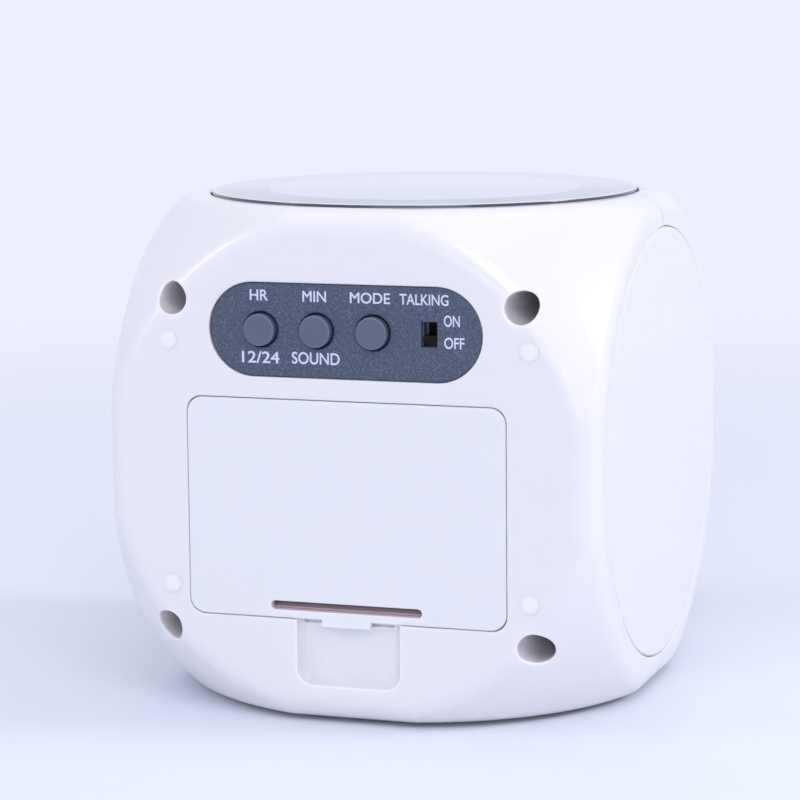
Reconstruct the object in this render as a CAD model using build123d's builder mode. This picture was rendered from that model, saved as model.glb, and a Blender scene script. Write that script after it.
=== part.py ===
from build123d import *
import os
from math import cos, hypot, pi, sin, sqrt, tan

os.makedirs("parts", exist_ok=True)

# Projection alarm clock, in millimetres. +Z is up, the display faces -Y and the back faces +Y.
# The origin is the middle of the footprint, on the surface that the feet stand on.

# ---------------------------------------------------------------- driving dimensions: casing
disc_radius = 34.5          # the round face plates: top, both sides, base and display window
side_margin = 5.5           # from a face plate's edge out to the side of the casing
flat_rim = 2.3              # flat ring round a face plate, before the corners round off
edge_blend = 4.3            # soft edge between a flat face and the round corners
rim_round = 0.25            # eased rims of openings and inlays
wall = 2.4
disc_thickness = 1.2        # side and base plates
foot_proud = 0.6            # feet below the casing
plate_proud = 0.5           # top plate above the casing
fixed_gap = 0.15            # round an inlay that stays put
moving_gap = 0.3            # round anything that travels
seat_gap = 0.1              # between loose pieces that sit on each other
joint_lip = 1.2             # how far the rear shell's lip reaches into the front shell

body_half = disc_radius + side_margin
core_half = body_half - edge_blend
core_radius = hypot(core_half, disc_radius + flat_rim)
body_height = 2 * body_half - plate_proud
centre_z = foot_proud + body_height / 2
top_z = foot_proud + body_height
inner_half = body_half - wall
pocket_radius = disc_radius + fixed_gap

# ---------------------------------------------------------------- driving dimensions: fasteners
shell_screw_shank = 1.3     # radii of the self-tapping screws
shell_screw_head = 2.3
shell_screw_length = 12.0
small_screw_shank = 0.9
small_screw_head = 1.7
small_screw_length = 5.0
head_height = 1.4
thread_gap = 0.05
boss_wall = 1.5
shell_boss_wall = 2.1
well_radius = 2.5           # the wells that the shell screws go down
well_seat_y = 2.4           # where a screw head lands
upper_well = (28.1, 25.65)  # sideways and up from the middle of the back
lower_well = (29.9, -26.3)

# ---------------------------------------------------------------- driving dimensions: power
cell_radius = 5.25          # AAA
cell_length = 44.5
cell_gap = 0.25
nub_radius = 1.9
nub_length = 1.0
cell_round = 0.5
contact_thickness = 0.4
contact_width = 8.0
spring_length = 4.4
spring_wire = 0.25          # radius
spring_turns = 3
spring_cone = -15           # degrees
bay_wall = 1.5
bay_clearance = 0.15
cradle_x = (5.9, -8.4)      # ribs under the lowest cell
cradle_thickness = 0.9
cradle_height = 1.0
cradle_inset = 1.0          # from the door's inner face
door_thickness = 1.8
door_ledge = 0.9            # rim of the bay that the door rests on
door_corner = 2.5
door_angle = 75.0           # how far the door tilts out
door_drop = 6.55            # from the middle of the back down to the door's
slot_length = 24.6          # flex slot over the latch
slot_height = 1.35
slot_rise = 1.25            # from the door's lower edge to the slot
latch_width = 7.9
latch_reach = 1.05          # how far the tongue hangs below the door
latch_thickness = 1.1
barb_width = 6.4
barb_height = 0.45
barb_reach = 1.7
recess_width = 16.8         # thumb recess under the door
recess_height = 10.4
recess_depth = 1.6
recess_corner = 2.6
recess_round = 1.0          # round the recess's floor
recess_x = -0.3
keeper_width = 14.8         # shallow slot across the tongue, deeper behind the barb
keeper_height = 1.0
keeper_depth = 0.5
hook_width = 5.0
hook_spacing = 32.0
hook_thickness = 1.0
hook_rise = 1.5             # how far a hook reaches up behind the casing
neck_depth = 1.1
tail_reach = 2.0            # terminal tails in front of the bay

# ---------------------------------------------------------------- driving dimensions: controls
panel_width = 44.0
panel_height = 14.5
panel_thickness = 1.0
panel_sunk = 0.3
panel_rise = 21.25          # from the middle of the back up to the panel's
panel_x = -0.2
panel_gap = 0.05
button_radius = 2.5
button_proud = 1.1          # above the panel
button_travel = 0.5
button_round = 0.3
button_flange = 3.7
flange_thickness = 0.8
button_x = {"hr": 13.4, "min": 4.3, "mode": -4.8}
hole_gap = 0.25             # round the buttons
switch_x = -13.75           # talking switch
switch_window_width = 2.5
switch_window_height = 3.8
switch_travel = 2.0
knob_gap = 0.15
switch_case = (3.6, 4.0, 8.6)
switch_sheet = 0.4
tact_size = 6.0
tact_height = 3.5
plunger_radius = 1.75
plunger_rise = 1.1
plunger_sunk = 0.9
board_thickness = 1.6
small_board_corner = 1.5
key_board_width = 46.0
key_board_height = 11.0
key_hole_inset = 2.5        # from a board's end to the middle of a screw hole
pip_radius = 1.4
pip_height = 0.2
pip_x = (-29.5, 28.7)
pip_rise = 19.2

# ---------------------------------------------------------------- driving dimensions: display
lens_thickness = 1.8
mask_thickness = 0.2
front_plate = 2.0           # casing wall behind the display window
view_width = 45.0           # what shows of the display
view_height = 27.0
glass_width = 52.0
glass_height = 34.0
glass_thickness = 2.2
frame_wall = 1.4
frame_clearance = 0.2
strip_height = 5.8          # conductive strips between the glass and the board
strip_thickness = 2.4
strip_length = 48.0
guide_thickness = 2.8
guide_width = 45.5
guide_height = 27.6
board_width = 67.0
board_height = 43.0
board_hole_inset_x = 2.3
board_hole_inset_z = 4.5
board_corner = 3.0
backlight_size = 1.6
chip_radius = 6.0
chip_height = 1.6
chip_round = 1.3
chip_place = (-4.0, -6.0)   # places on the board, from the middle of the display
can_radius = 1.0            # crystal
can_length = 6.0
can_round = 0.25
crystal_place = (8.0, -12.0)
capacitor_radius = 2.5
capacitor_height = 7.0
capacitor_round = 0.4
capacitor_places = [(-26.0, 4.0), (-26.0, -4.0), (26.0, -12.0)]
bead_radius = 1.2           # temperature sensor
bead_leg = 0.25
bead_leg_pitch = 1.2
bead_rise = 5.0
bead_place = (28.0, 6.0)

# ---------------------------------------------------------------- driving dimensions: top plate
plate_thickness = 1.5
carrier_thickness = 1.5
plate_travel = 0.5
carrier_air = 0.5           # left under the carrier at the end of its travel
well_floor = 1.6
well_wall = 1.6
post_circle = 26.0
post_radius = 2.0
post_head_rim = 1.0         # how far a post screw's head overhangs its post
stem_radius = 2.5
snooze_board_width = 21.0
snooze_board_back = 17.0
snooze_board_front = 5.0
snooze_hole_inset = 3.5
snooze_boss_y = 13.0
snooze_board_drop = 7.4     # from the well's floor down to the snooze board

# ---------------------------------------------------------------- driving dimensions: speaker
speaker_radius = 18.0
speaker_flange = 1.2
basket_height = 4.5
magnet_radius = 8.5
magnet_height = 4.5
magnet_margin = 1.0         # basket plate round the magnet
basket_sheet = 0.8
speaker_surround = 2.0      # from the cone's rim to the flange's edge
cone_sheet = 0.3
coil_radius = 5.0
dome_rise = 1.2
tab_reach = 12.5            # the tab that the speaker's leads leave from
tab_length = 4.0
tab_rise = 2.0
speaker_ring_wall = 1.6
speaker_ring_height = 3.0
grille_hole = 0.9
grille_pitch = 3.6
grille_rings = 4
foot_radius = 4.0
foot_inset = 5.0            # from the base plate's edge to the middle of a foot
foot_sunk = 0.5
foot_count = 4
foot_angle = 45.0           # from +X to the first foot

# ---------------------------------------------------------------- driving dimensions: projector
barrel_radius = 9.5
barrel_length = 23.4
lens_radius = 8.0
projector_lens_depth = 3.0
projector_lens_round = 2.7
slide_radius = 6.95
slide_thickness = 1.1
slide_ledge = 1.0
lens_bore_depth = 6.9
slide_gap = 1.0             # from the lamp's tip to the slide
led_radius = 2.5
led_length = 5.0
led_board_margin = 0.5
flange_depth = 5.4          # from the barrel's nose to its ears
flange_plate = 1.6
ear_radius = 3.2
ear_y = -11.0
ear_rise = 10.5
window_radius = 7.0
window_ledge = 0.6

# ---------------------------------------------------------------- driving dimensions: leads
lead_radius = 0.6
lead_pitch = 1.6
lead_start = 5.4            # straight out of a pad before the first bend
ribbon_width = 9.0
ribbon_thickness = 0.9
ribbon_start = 8.0
speaker_pad = (-18.0, -15.0)    # pads on the main board, from the middle of the display
snooze_pad = (-9.5, 16.4)
projector_pad = (3.5, 8.0)
red_pad = (20.0, 12.5)
black_pad = (-22.0, -4.5)
ribbon_pad = (0.0, 17.4)


def at_y(y):
    """A plane square to Y, with X across and Z up, that extrudes towards the display."""
    return Plane.XZ.offset(-y)


def at_x(x):
    """A plane square to X, with Y across and Z up, that extrudes towards +X."""
    return Plane.YZ.offset(x)


def at_z(z):
    """A level plane that extrudes upwards."""
    return Plane.XY.offset(z)


above = (Align.CENTER, Align.MIN)      # a sketch that stands on its place, or hangs from it
below = (Align.CENTER, Align.MAX)


# ================================================================ casing
def casing_form(inset):
    """The casing's rounded cube, a ball cut flat on six sides, moved inwards by inset."""
    with BuildPart() as form:
        with Locations((0, 0, centre_z)):
            Sphere(core_radius)
            Box(2 * core_half, 2 * core_half, body_height - 2 * edge_blend, mode=Mode.INTERSECT)
        offset(amount=edge_blend - inset, kind=Kind.ARC)
    return form.part


def opening_rims(part, axis, level):
    """The edges of every opening in a part's largest flat face at a level."""
    flats = part.faces().filter_by(GeomType.PLANE)
    face = flats.filter_by_position(axis, level - thread_gap, level + thread_gap).sort_by(SortBy.AREA)[-1]
    return [edge for wire in face.inner_wires() for edge in wire.edges()]


outer_form = casing_form(0)
lip_form = casing_form(wall / 2)
lip_inner_form = casing_form(wall / 2 + seat_gap)
inner_form = casing_form(wall)

# Depths behind the display window, one piece after the other.
lens_seat_y = -body_half + lens_thickness + mask_thickness
glass_front_y = lens_seat_y + front_plate
glass_back_y = glass_front_y + glass_thickness
board_front_y = glass_back_y + strip_height
board_back_y = board_front_y + board_thickness

# Levels in the well under the top plate.
plate_top_z = top_z + plate_proud
plate_bottom_z = plate_top_z - plate_thickness
carrier_bottom_z = plate_bottom_z - carrier_thickness
well_floor_z = carrier_bottom_z - plate_travel - carrier_air
well_under_z = well_floor_z - well_floor
well_inner_radius = disc_radius + moving_gap
stem_hole_radius = stem_radius + 2 * moving_gap
post_places = [
    (post_circle * cos(angle), post_circle * sin(angle))
    for angle in (pi / 2, pi / 2 + 2 * pi / 3, pi / 2 + 4 * pi / 3)
]

# The speaker stands in a ring on the base plate.
base_plate_top_z = foot_proud + disc_thickness
speaker_ring_radius = speaker_radius + 2 * seat_gap + speaker_ring_wall
base_opening_radius = speaker_ring_radius + moving_gap
foot_circle = disc_radius - foot_inset

barrel_nose_x = inner_half - seat_gap
projector_opening_radius = window_radius - window_ledge

with BuildPart() as casing:
    add(outer_form)
    add(inner_form, mode=Mode.SUBTRACT)
    # The wall behind the display window, and the cup that the top plate moves in.
    with BuildSketch(at_y(glass_front_y)):
        with Locations((0, centre_z)):
            Circle(pocket_radius + well_wall)
    extrude(amount=front_plate + mask_thickness)
    with BuildSketch(at_z(well_under_z)):
        Circle(well_inner_radius + well_wall)
    extrude(amount=top_z - wall / 2 - well_under_z)
    # Round pockets for the face plates.
    with BuildSketch(at_z(well_floor_z)):
        Circle(well_inner_radius)
    extrude(amount=body_half, mode=Mode.SUBTRACT)
    with BuildSketch(at_z(well_under_z)):
        Circle(stem_hole_radius)
        with Locations(*post_places):
            Circle(post_radius + moving_gap)
    extrude(amount=well_floor, mode=Mode.SUBTRACT)
    with BuildSketch(at_y(lens_seat_y)):
        with Locations((0, centre_z)):
            Circle(pocket_radius)
    extrude(amount=body_half, mode=Mode.SUBTRACT)
    with BuildSketch(at_y(glass_front_y)):
        with Locations((0, centre_z)):
            RectangleRounded(view_width, view_height, frame_wall)
    extrude(amount=front_plate, mode=Mode.SUBTRACT)
    with BuildSketch(at_x(body_half - disc_thickness)) as right_pocket:
        with Locations((0, centre_z)):
            Circle(pocket_radius)
    extrude(amount=disc_thickness, mode=Mode.SUBTRACT)
    with BuildSketch(at_x(-body_half)) as left_pocket:
        with Locations((0, centre_z)):
            Circle(pocket_radius)
    extrude(amount=disc_thickness, mode=Mode.SUBTRACT)
    with BuildSketch(at_z(foot_proud)):
        Circle(pocket_radius)
    extrude(amount=disc_thickness, mode=Mode.SUBTRACT)
    with BuildSketch(at_z(foot_proud)):
        Circle(base_opening_radius)
    extrude(amount=wall, mode=Mode.SUBTRACT)
    with BuildSketch(at_x(inner_half)):
        with Locations((0, centre_z)):
            Circle(projector_opening_radius)
    extrude(amount=wall, mode=Mode.SUBTRACT)
    pocket_levels = [(Axis.X, -body_half), (Axis.X, body_half), (Axis.Y, -body_half)]
    for axis, level in pocket_levels + [(Axis.Z, foot_proud), (Axis.Z, top_z)]:
        fillet(opening_rims(casing.part, axis, level), rim_round)

board_boss_x = board_width / 2 - board_hole_inset_x
board_boss_rise = board_height / 2 - board_hole_inset_z
key_boss_x = key_board_width / 2 - key_hole_inset
snooze_boss_x = snooze_board_width / 2 - snooze_hole_inset
well_places = [
    (side * across, centre_z + rise)
    for across, rise in (upper_well, lower_well)
    for side in (-1, 1)
]
board_boss_places = [
    (side * board_boss_x, centre_z + rise * board_boss_rise)
    for side in (-1, 1)
    for rise in (-1, 1)
]
ear_places = [(ear_y, centre_z - ear_rise), (ear_y, centre_z + ear_rise)]
small_boss_radius = small_screw_shank + boss_wall
post_outer_radius = shell_screw_shank + shell_boss_wall
well_boss_radius = well_radius + boss_wall
ear_face_x = barrel_nose_x - flange_depth
shell_pilot_depth = shell_screw_length - well_seat_y + seat_gap
board_pilot_depth = small_screw_length - board_thickness + seat_gap
ear_pilot_depth = small_screw_length - flange_plate + seat_gap

# The rear shell's lip slips into a rebate inside the front shell's edge.
with BuildPart() as rebate:
    add(lip_form)
    add(inner_form, mode=Mode.SUBTRACT)
    split(bisect_by=at_y(-joint_lip - seat_gap), keep=Keep.BOTTOM)

with BuildPart() as lip:
    add(casing.part)
    add(lip_inner_form, mode=Mode.INTERSECT)
    add(inner_form, mode=Mode.SUBTRACT)
    split(bisect_by=Plane.XZ, keep=Keep.TOP)
    split(bisect_by=at_y(-joint_lip), keep=Keep.BOTTOM)

# Posts that the shell screws bite into, and bosses for the board and the projector.
with BuildPart() as front_fittings:
    with BuildSketch(at_y(0)):
        with Locations(*well_places):
            Circle(post_outer_radius)
    extrude(amount=-lens_seat_y)
    with BuildSketch(at_y(board_front_y)):
        with Locations(*board_boss_places):
            Circle(small_boss_radius)
    extrude(amount=board_front_y - lens_seat_y)
    with BuildSketch(at_x(ear_face_x)):
        with Locations(*ear_places):
            Circle(small_boss_radius)
    extrude(amount=body_half - disc_thickness - ear_face_x)
    add(lip_form, mode=Mode.INTERSECT)

with BuildPart() as front_shell:
    add(casing.part)
    split(bisect_by=Plane.XZ, keep=Keep.TOP)
    add(front_fittings.part)
    with BuildSketch(at_y(0)):
        with Locations(*well_places):
            Circle(shell_screw_shank + thread_gap)
    extrude(amount=shell_pilot_depth, mode=Mode.SUBTRACT)
    with BuildSketch(at_y(board_front_y)):
        with Locations(*board_boss_places):
            Circle(small_screw_shank + thread_gap)
    extrude(amount=board_pilot_depth, mode=Mode.SUBTRACT)
    with BuildSketch(at_x(ear_face_x)):
        with Locations(*ear_places):
            Circle(small_screw_shank + thread_gap)
    extrude(amount=ear_pilot_depth, mode=Mode.SUBTRACT)
    add(rebate.part, mode=Mode.SUBTRACT)
front_shell.part.label = "front_shell"

# ================================================================ sizes of the battery bay and controls
cell_pitch = 2 * cell_radius + cell_gap
bay_width = cell_length + spring_length + 2 * contact_thickness
bay_height = 2 * cell_pitch + 2 * cell_radius + 2 * bay_clearance
door_width = bay_width + 2 * door_ledge
door_height = bay_height + 2 * door_ledge
door_inner_y = body_half - door_thickness
door_z = centre_z - door_drop
door_bottom_z = door_z - door_height / 2
door_top_z = door_z + door_height / 2
cell_y = door_inner_y - moving_gap - cell_radius
bay_floor_y = cell_y - cell_radius - seat_gap
bay_front_y = bay_floor_y - bay_wall
cell_z = [door_z + row * cell_pitch for row in (1, 0, -1)]
cradle_back_y = door_inner_y - cradle_inset
cradle_drop = cell_radius + bay_clearance - cradle_height
cradle_front_y = cell_y + sqrt(cell_radius**2 - cradle_drop**2) + moving_gap
latch_bottom_z = door_bottom_z - latch_reach
keeper_top_z = door_bottom_z + fixed_gap
barb_bottom_z = keeper_top_z - keeper_height + moving_gap
hook_places = [-hook_spacing / 2, hook_spacing / 2]
hook_pocket_places = [(x, door_top_z + fixed_gap) for x in hook_places]
hook_pocket_width = hook_width + 2 * moving_gap
hook_pocket_height = 2 * (hook_rise + moving_gap)
hook_front_y = inner_half - seat_gap
hook_back_y = hook_front_y - hook_thickness

panel_z = centre_z + panel_rise
panel_face_y = body_half - panel_sunk
panel_seat_y = panel_face_y - panel_thickness
button_face_y = panel_face_y + button_proud
flange_front_y = inner_half - moving_gap
button_foot_y = flange_front_y - flange_thickness
key_board_back_y = button_foot_y - plunger_rise - tact_height
key_board_front_y = key_board_back_y - board_thickness
key_boss_places = [(side * key_boss_x, panel_z) for side in (-1, 1)]
button_places = [(x, panel_z) for x in button_x.values()]
snooze_board_top_z = well_under_z - snooze_board_drop
snooze_boss_places = [(side * snooze_boss_x, snooze_boss_y) for side in (-1, 1)]
tail_width = contact_width / 4
tail_slit = contact_thickness + 2 * seat_gap
terminal_x = bay_width / 2 - contact_thickness / 2
pip_places = [(x, centre_z + rise) for x in pip_x for rise in (-pip_rise, pip_rise)]
tail_places = [(terminal_x, cell_z[0]), (-terminal_x, cell_z[-1])]

# Screw wells, the battery bay's box and the key board's bosses stand on the back wall, and the
# snooze board's bosses hang under the top plate's cup.
with BuildPart() as rear_fittings:
    with BuildSketch(at_y(body_half)):
        with Locations(*well_places):
            Circle(well_boss_radius)
    extrude(amount=body_half)
    with BuildSketch(at_y(body_half)):
        with Locations((0, door_z)):
            Rectangle(bay_width + 2 * bay_wall, bay_height + 2 * bay_wall)
    extrude(amount=body_half - bay_front_y)
    with BuildSketch(at_y(panel_seat_y)):
        with Locations(*key_boss_places):
            Circle(small_boss_radius)
    extrude(amount=panel_seat_y - key_board_back_y)
    with BuildSketch(at_z(snooze_board_top_z)):
        with Locations(*snooze_boss_places):
            Circle(small_boss_radius)
    extrude(amount=well_floor_z - snooze_board_top_z)
    add(lip_form, mode=Mode.INTERSECT)

with BuildPart() as recess_form:
    with BuildSketch(at_y(body_half)):
        with Locations((recess_x, door_bottom_z - recess_height)):
            Rectangle(recess_width, recess_height + recess_corner, align=above)
        fillet(vertices(), recess_corner)
    extrude(amount=recess_depth)
    fillet(recess_form.edges().group_by(Axis.Y)[0], recess_round)

with BuildPart() as rear_shell:
    add(casing.part)
    split(bisect_by=Plane.XZ, keep=Keep.BOTTOM)
    add(lip.part)
    add(rear_fittings.part)
    # Wells, with the hole that a screw's shank passes.
    with BuildSketch(at_y(body_half)):
        with Locations(*well_places):
            Circle(well_radius)
    extrude(amount=body_half - well_seat_y, mode=Mode.SUBTRACT)
    well_rims = edges(Select.LAST).filter_by_position(Axis.Y, inner_half, body_half)
    fillet(well_rims.filter_by(GeomType.LINE, reverse=True), rim_round)
    with BuildSketch(at_y(well_seat_y)):
        with Locations(*well_places):
            Circle(shell_screw_shank + fixed_gap)
    extrude(amount=well_seat_y, mode=Mode.SUBTRACT)
    # Battery bay, the door's opening, and slits for the terminals' tails.
    with BuildSketch(at_y(body_half)):
        with Locations((0, door_z)):
            Rectangle(bay_width, bay_height)
    extrude(amount=body_half - bay_floor_y, mode=Mode.SUBTRACT)
    with BuildSketch(at_y(cradle_back_y)):
        with Locations(*[(x, door_z - bay_height / 2) for x in cradle_x]):
            Rectangle(cradle_thickness, cradle_height, align=above)
    extrude(amount=cradle_back_y - cradle_front_y)
    with BuildSketch(at_y(body_half)):
        with Locations((0, door_z)):
            opening_width = door_width + 2 * fixed_gap
            RectangleRounded(opening_width, door_height + 2 * fixed_gap, door_corner)
    extrude(amount=door_thickness, mode=Mode.SUBTRACT)
    with BuildSketch(at_y(bay_floor_y)):
        with Locations(*tail_places):
            Rectangle(tail_slit, tail_width + 2 * seat_gap)
    extrude(amount=bay_wall, mode=Mode.SUBTRACT)
    # Pockets above the opening that the door's hooks reach into.
    with BuildSketch(at_y(inner_half)):
        with Locations(*hook_pocket_places):
            Rectangle(hook_pocket_width, hook_pocket_height)
    extrude(amount=2 * hook_thickness, mode=Mode.SUBTRACT)
    with BuildSketch(at_y(door_inner_y)):
        with Locations(*hook_pocket_places):
            Rectangle(hook_pocket_width, hook_pocket_height, align=below)
    extrude(amount=door_inner_y - inner_half, mode=Mode.SUBTRACT)
    # Thumb recess below the door, with the keeper slot that the latch drops into.
    add(recess_form.part, mode=Mode.SUBTRACT)
    with BuildSketch(at_y(body_half - recess_depth)):
        with Locations((0, keeper_top_z)):
            Rectangle(keeper_width, keeper_height, align=below)
    extrude(amount=keeper_depth, mode=Mode.SUBTRACT)
    with BuildSketch(at_y(body_half - recess_depth)):
        with Locations((0, keeper_top_z)):
            Rectangle(barb_width + 2 * moving_gap, keeper_height, align=below)
    extrude(amount=2 * barb_reach, mode=Mode.SUBTRACT)
    # Panel recess, with the holes for the buttons and the talking switch.
    with BuildSketch(at_y(body_half)):
        with Locations((panel_x, panel_z)):
            SlotOverall(panel_width + 2 * panel_gap, panel_height + 2 * panel_gap)
    extrude(amount=body_half - panel_seat_y, mode=Mode.SUBTRACT)
    with BuildSketch(at_y(panel_seat_y)):
        with Locations(*button_places):
            Circle(button_radius + moving_gap)
        with Locations((switch_x, panel_z)):
            window_width = switch_window_width + 2 * fixed_gap
            Rectangle(window_width, switch_window_height + 2 * fixed_gap)
    extrude(amount=wall, mode=Mode.SUBTRACT)
    with BuildSketch(at_y(key_board_back_y)):
        with Locations(*key_boss_places):
            Circle(small_screw_shank + thread_gap)
    extrude(amount=-board_pilot_depth, mode=Mode.SUBTRACT)
    with BuildSketch(at_z(snooze_board_top_z)):
        with Locations(*snooze_boss_places):
            Circle(small_screw_shank + thread_gap)
    extrude(amount=board_pilot_depth, mode=Mode.SUBTRACT)
    # Eased rims of the openings in the flat back, then the pips on it.
    fillet(opening_rims(rear_shell.part, Axis.Y, body_half), rim_round)
    with BuildSketch(at_y(body_half + pip_height)):
        with Locations(*pip_places):
            Circle(pip_radius)
    extrude(amount=wall / 2)
rear_shell.part.label = "rear_shell"

# ================================================================ face plates, base and feet
edge_round = disc_thickness / 4

with BuildPart() as left_side_disc:
    with BuildSketch(at_x(-body_half)):
        with Locations((0, centre_z)):
            Circle(disc_radius)
    extrude(amount=disc_thickness)
    fillet(left_side_disc.edges().sort_by(Axis.X)[0], edge_round)
left_side_disc.part.label = "left_side_disc"

with BuildPart() as right_side_disc:
    with BuildSketch(at_x(body_half - disc_thickness)):
        with Locations((0, centre_z)):
            Circle(disc_radius)
            Circle(window_radius + fixed_gap, mode=Mode.SUBTRACT)
    extrude(amount=disc_thickness)
    fillet(right_side_disc.edges().group_by(Axis.X)[-1], edge_round)
right_side_disc.part.label = "right_side_disc"

with BuildPart() as projector_window:
    with BuildSketch(at_x(body_half - disc_thickness)):
        with Locations((0, centre_z)):
            Circle(window_radius)
    extrude(amount=disc_thickness)
    fillet(projector_window.edges().sort_by(Axis.X)[-1], edge_round)
projector_window.part.label = "projector_window"

with BuildPart() as base_plate:
    with BuildSketch(at_z(foot_proud)):
        Circle(disc_radius)
    extrude(amount=disc_thickness)
    with BuildSketch(at_z(base_plate_top_z)):
        Circle(speaker_ring_radius)
        Circle(speaker_ring_radius - speaker_ring_wall, mode=Mode.SUBTRACT)
    extrude(amount=speaker_ring_height)
    with BuildSketch(at_z(foot_proud)):
        Circle(grille_hole)
        for ring in range(1, grille_rings + 1):
            with PolarLocations(ring * grille_pitch, 6 * ring):
                Circle(grille_hole)
    extrude(amount=disc_thickness, mode=Mode.SUBTRACT)
    with BuildSketch(at_z(foot_proud)):
        with PolarLocations(foot_circle, foot_count, start_angle=foot_angle):
            Circle(foot_radius + fixed_gap)
    extrude(amount=foot_sunk, mode=Mode.SUBTRACT)
base_plate.part.label = "base_plate"

with BuildPart() as rubber_feet:
    with BuildSketch(at_z(0)):
        with PolarLocations(foot_circle, foot_count, start_angle=foot_angle):
            Circle(foot_radius)
    extrude(amount=foot_proud + foot_sunk)
    fillet(rubber_feet.edges().group_by(Axis.Z)[0], foot_proud / 2)
rubber_feet.part.label = "rubber_feet"


# ================================================================ fasteners
def screw_group(places, shank_radius, shank_length, head_radius):
    """Pan head screws with cross recesses; each place is a plane whose Z axis leaves the head."""
    with BuildPart() as group:
        with Locations(*places):
            Cylinder(head_radius, head_height, align=(Align.CENTER, Align.CENTER, Align.MIN))
            Cylinder(shank_radius, shank_length, align=(Align.CENTER, Align.CENTER, Align.MAX))
        with Locations(*[place.offset(head_height) for place in places]):
            Box(head_radius, head_radius / 4, head_height, mode=Mode.SUBTRACT)
            Box(head_radius / 4, head_radius, head_height, mode=Mode.SUBTRACT)
    return group.part


back_planes = [Plane(origin=(x, well_seat_y, z), z_dir=(0, 1, 0)) for x, z in well_places]
shell_screws = screw_group(back_planes, shell_screw_shank, shell_screw_length, shell_screw_head)
shell_screws.label = "shell_screws"

# One small screw holds every board and the projector.
snooze_board_bottom_z = snooze_board_top_z - board_thickness
board_planes = [Plane(origin=(x, board_back_y, z), z_dir=(0, 1, 0)) for x, z in board_boss_places]
key_planes = [Plane(origin=(x, key_board_front_y, z), z_dir=(0, -1, 0)) for x, z in key_boss_places]
snooze_planes = [
    Plane(origin=(x, y, snooze_board_bottom_z), z_dir=(0, 0, -1)) for x, y in snooze_boss_places
]
ear_planes = [Plane(origin=(ear_face_x - flange_plate, y, z), z_dir=(-1, 0, 0)) for y, z in ear_places]
small_screw_planes = board_planes + key_planes + snooze_planes + ear_planes
small_screws = screw_group(small_screw_planes, small_screw_shank, small_screw_length, small_screw_head)
small_screws.label = "small_screws"

# ================================================================ top plate
post_head = post_radius + post_head_rim
post_foot_z = well_under_z - seat_gap

with BuildPart() as snooze_plate:
    with BuildSketch(at_z(plate_bottom_z)):
        Circle(disc_radius)
    extrude(amount=plate_thickness)
    fillet(snooze_plate.edges().sort_by(Axis.Z)[-1], edge_round)
snooze_plate.part.label = "snooze_plate"

with BuildPart() as snooze_carrier:
    with BuildSketch(at_z(carrier_bottom_z)):
        Circle(disc_radius)
    extrude(amount=carrier_thickness)
    with BuildSketch(at_z(carrier_bottom_z)):
        with Locations(*post_places):
            Circle(post_radius)
    extrude(amount=post_foot_z - carrier_bottom_z)
    with BuildSketch(at_z(carrier_bottom_z)):
        Circle(stem_radius)
    extrude(amount=snooze_board_top_z + tact_height + plunger_rise - carrier_bottom_z)
    with BuildSketch(at_z(post_foot_z)):
        with Locations(*post_places):
            Circle(small_screw_shank + thread_gap)
    extrude(amount=board_pilot_depth, mode=Mode.SUBTRACT)
snooze_carrier.part.label = "snooze_carrier"

post_planes = [Plane(origin=(x, y, post_foot_z), z_dir=(0, 0, -1)) for x, y in post_places]
snooze_post_screws = screw_group(post_planes, small_screw_shank, board_pilot_depth - seat_gap, post_head)
snooze_post_screws.label = "snooze_post_screws"

with BuildPart() as snooze_board:
    with BuildSketch(at_z(snooze_board_bottom_z)):
        with Locations((0, (snooze_board_back - snooze_board_front) / 2)):
            snooze_board_depth = snooze_board_back + snooze_board_front
            RectangleRounded(snooze_board_width, snooze_board_depth, small_board_corner)
        with Locations(*snooze_boss_places):
            Circle(small_screw_shank + fixed_gap, mode=Mode.SUBTRACT)
    extrude(amount=board_thickness)
snooze_board.part.label = "snooze_board"


# ================================================================ tact switches
def tact_body(places):
    """Square switch housings; each place is a plane on the board whose Z axis leaves the board."""
    with BuildPart() as bodies:
        with Locations(*places):
            Box(tact_size, tact_size, tact_height, align=(Align.CENTER, Align.CENTER, Align.MIN))
        with Locations(*[place.offset(tact_height) for place in places]):
            bore_depth = 2 * (plunger_sunk + button_travel)
            Cylinder(plunger_radius + seat_gap, bore_depth, mode=Mode.SUBTRACT)
    return bodies.part


def tact_plunger(place):
    """The round plunger of one switch, at rest."""
    with BuildPart() as plunger:
        with Locations(place.offset(tact_height - plunger_sunk)):
            length = plunger_sunk + plunger_rise
            Cylinder(plunger_radius, length, align=(Align.CENTER, Align.CENTER, Align.MIN))
    return plunger.part


snooze_switch_plane = at_z(snooze_board_top_z)
snooze_switch_body = tact_body([snooze_switch_plane])
snooze_switch_body.label = "snooze_switch_body"
snooze_switch_plunger = tact_plunger(snooze_switch_plane)
snooze_switch_plunger.label = "snooze_switch_plunger"

key_switch_planes = {
    key: Plane(origin=(x, key_board_back_y, panel_z), z_dir=(0, 1, 0)) for key, x in button_x.items()
}
key_switch_bodies = tact_body(list(key_switch_planes.values()))
key_switch_bodies.label = "key_switch_bodies"
key_plungers = []
for key, plane in key_switch_planes.items():
    plunger = tact_plunger(plane)
    plunger.label = f"{key}_switch_plunger"
    key_plungers.append(plunger)

# ================================================================ control panel and its switches
with BuildPart() as control_panel:
    with BuildSketch(at_y(panel_face_y)):
        with Locations((panel_x, panel_z)):
            SlotOverall(panel_width, panel_height)
        with Locations(*button_places):
            Circle(button_radius + hole_gap, mode=Mode.SUBTRACT)
        with Locations((switch_x, panel_z)):
            Rectangle(switch_window_width, switch_window_height, mode=Mode.SUBTRACT)
    extrude(amount=panel_thickness)
    fillet(control_panel.edges().group_by(Axis.Y)[-1], rim_round)
control_panel.part.label = "control_panel"

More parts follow.
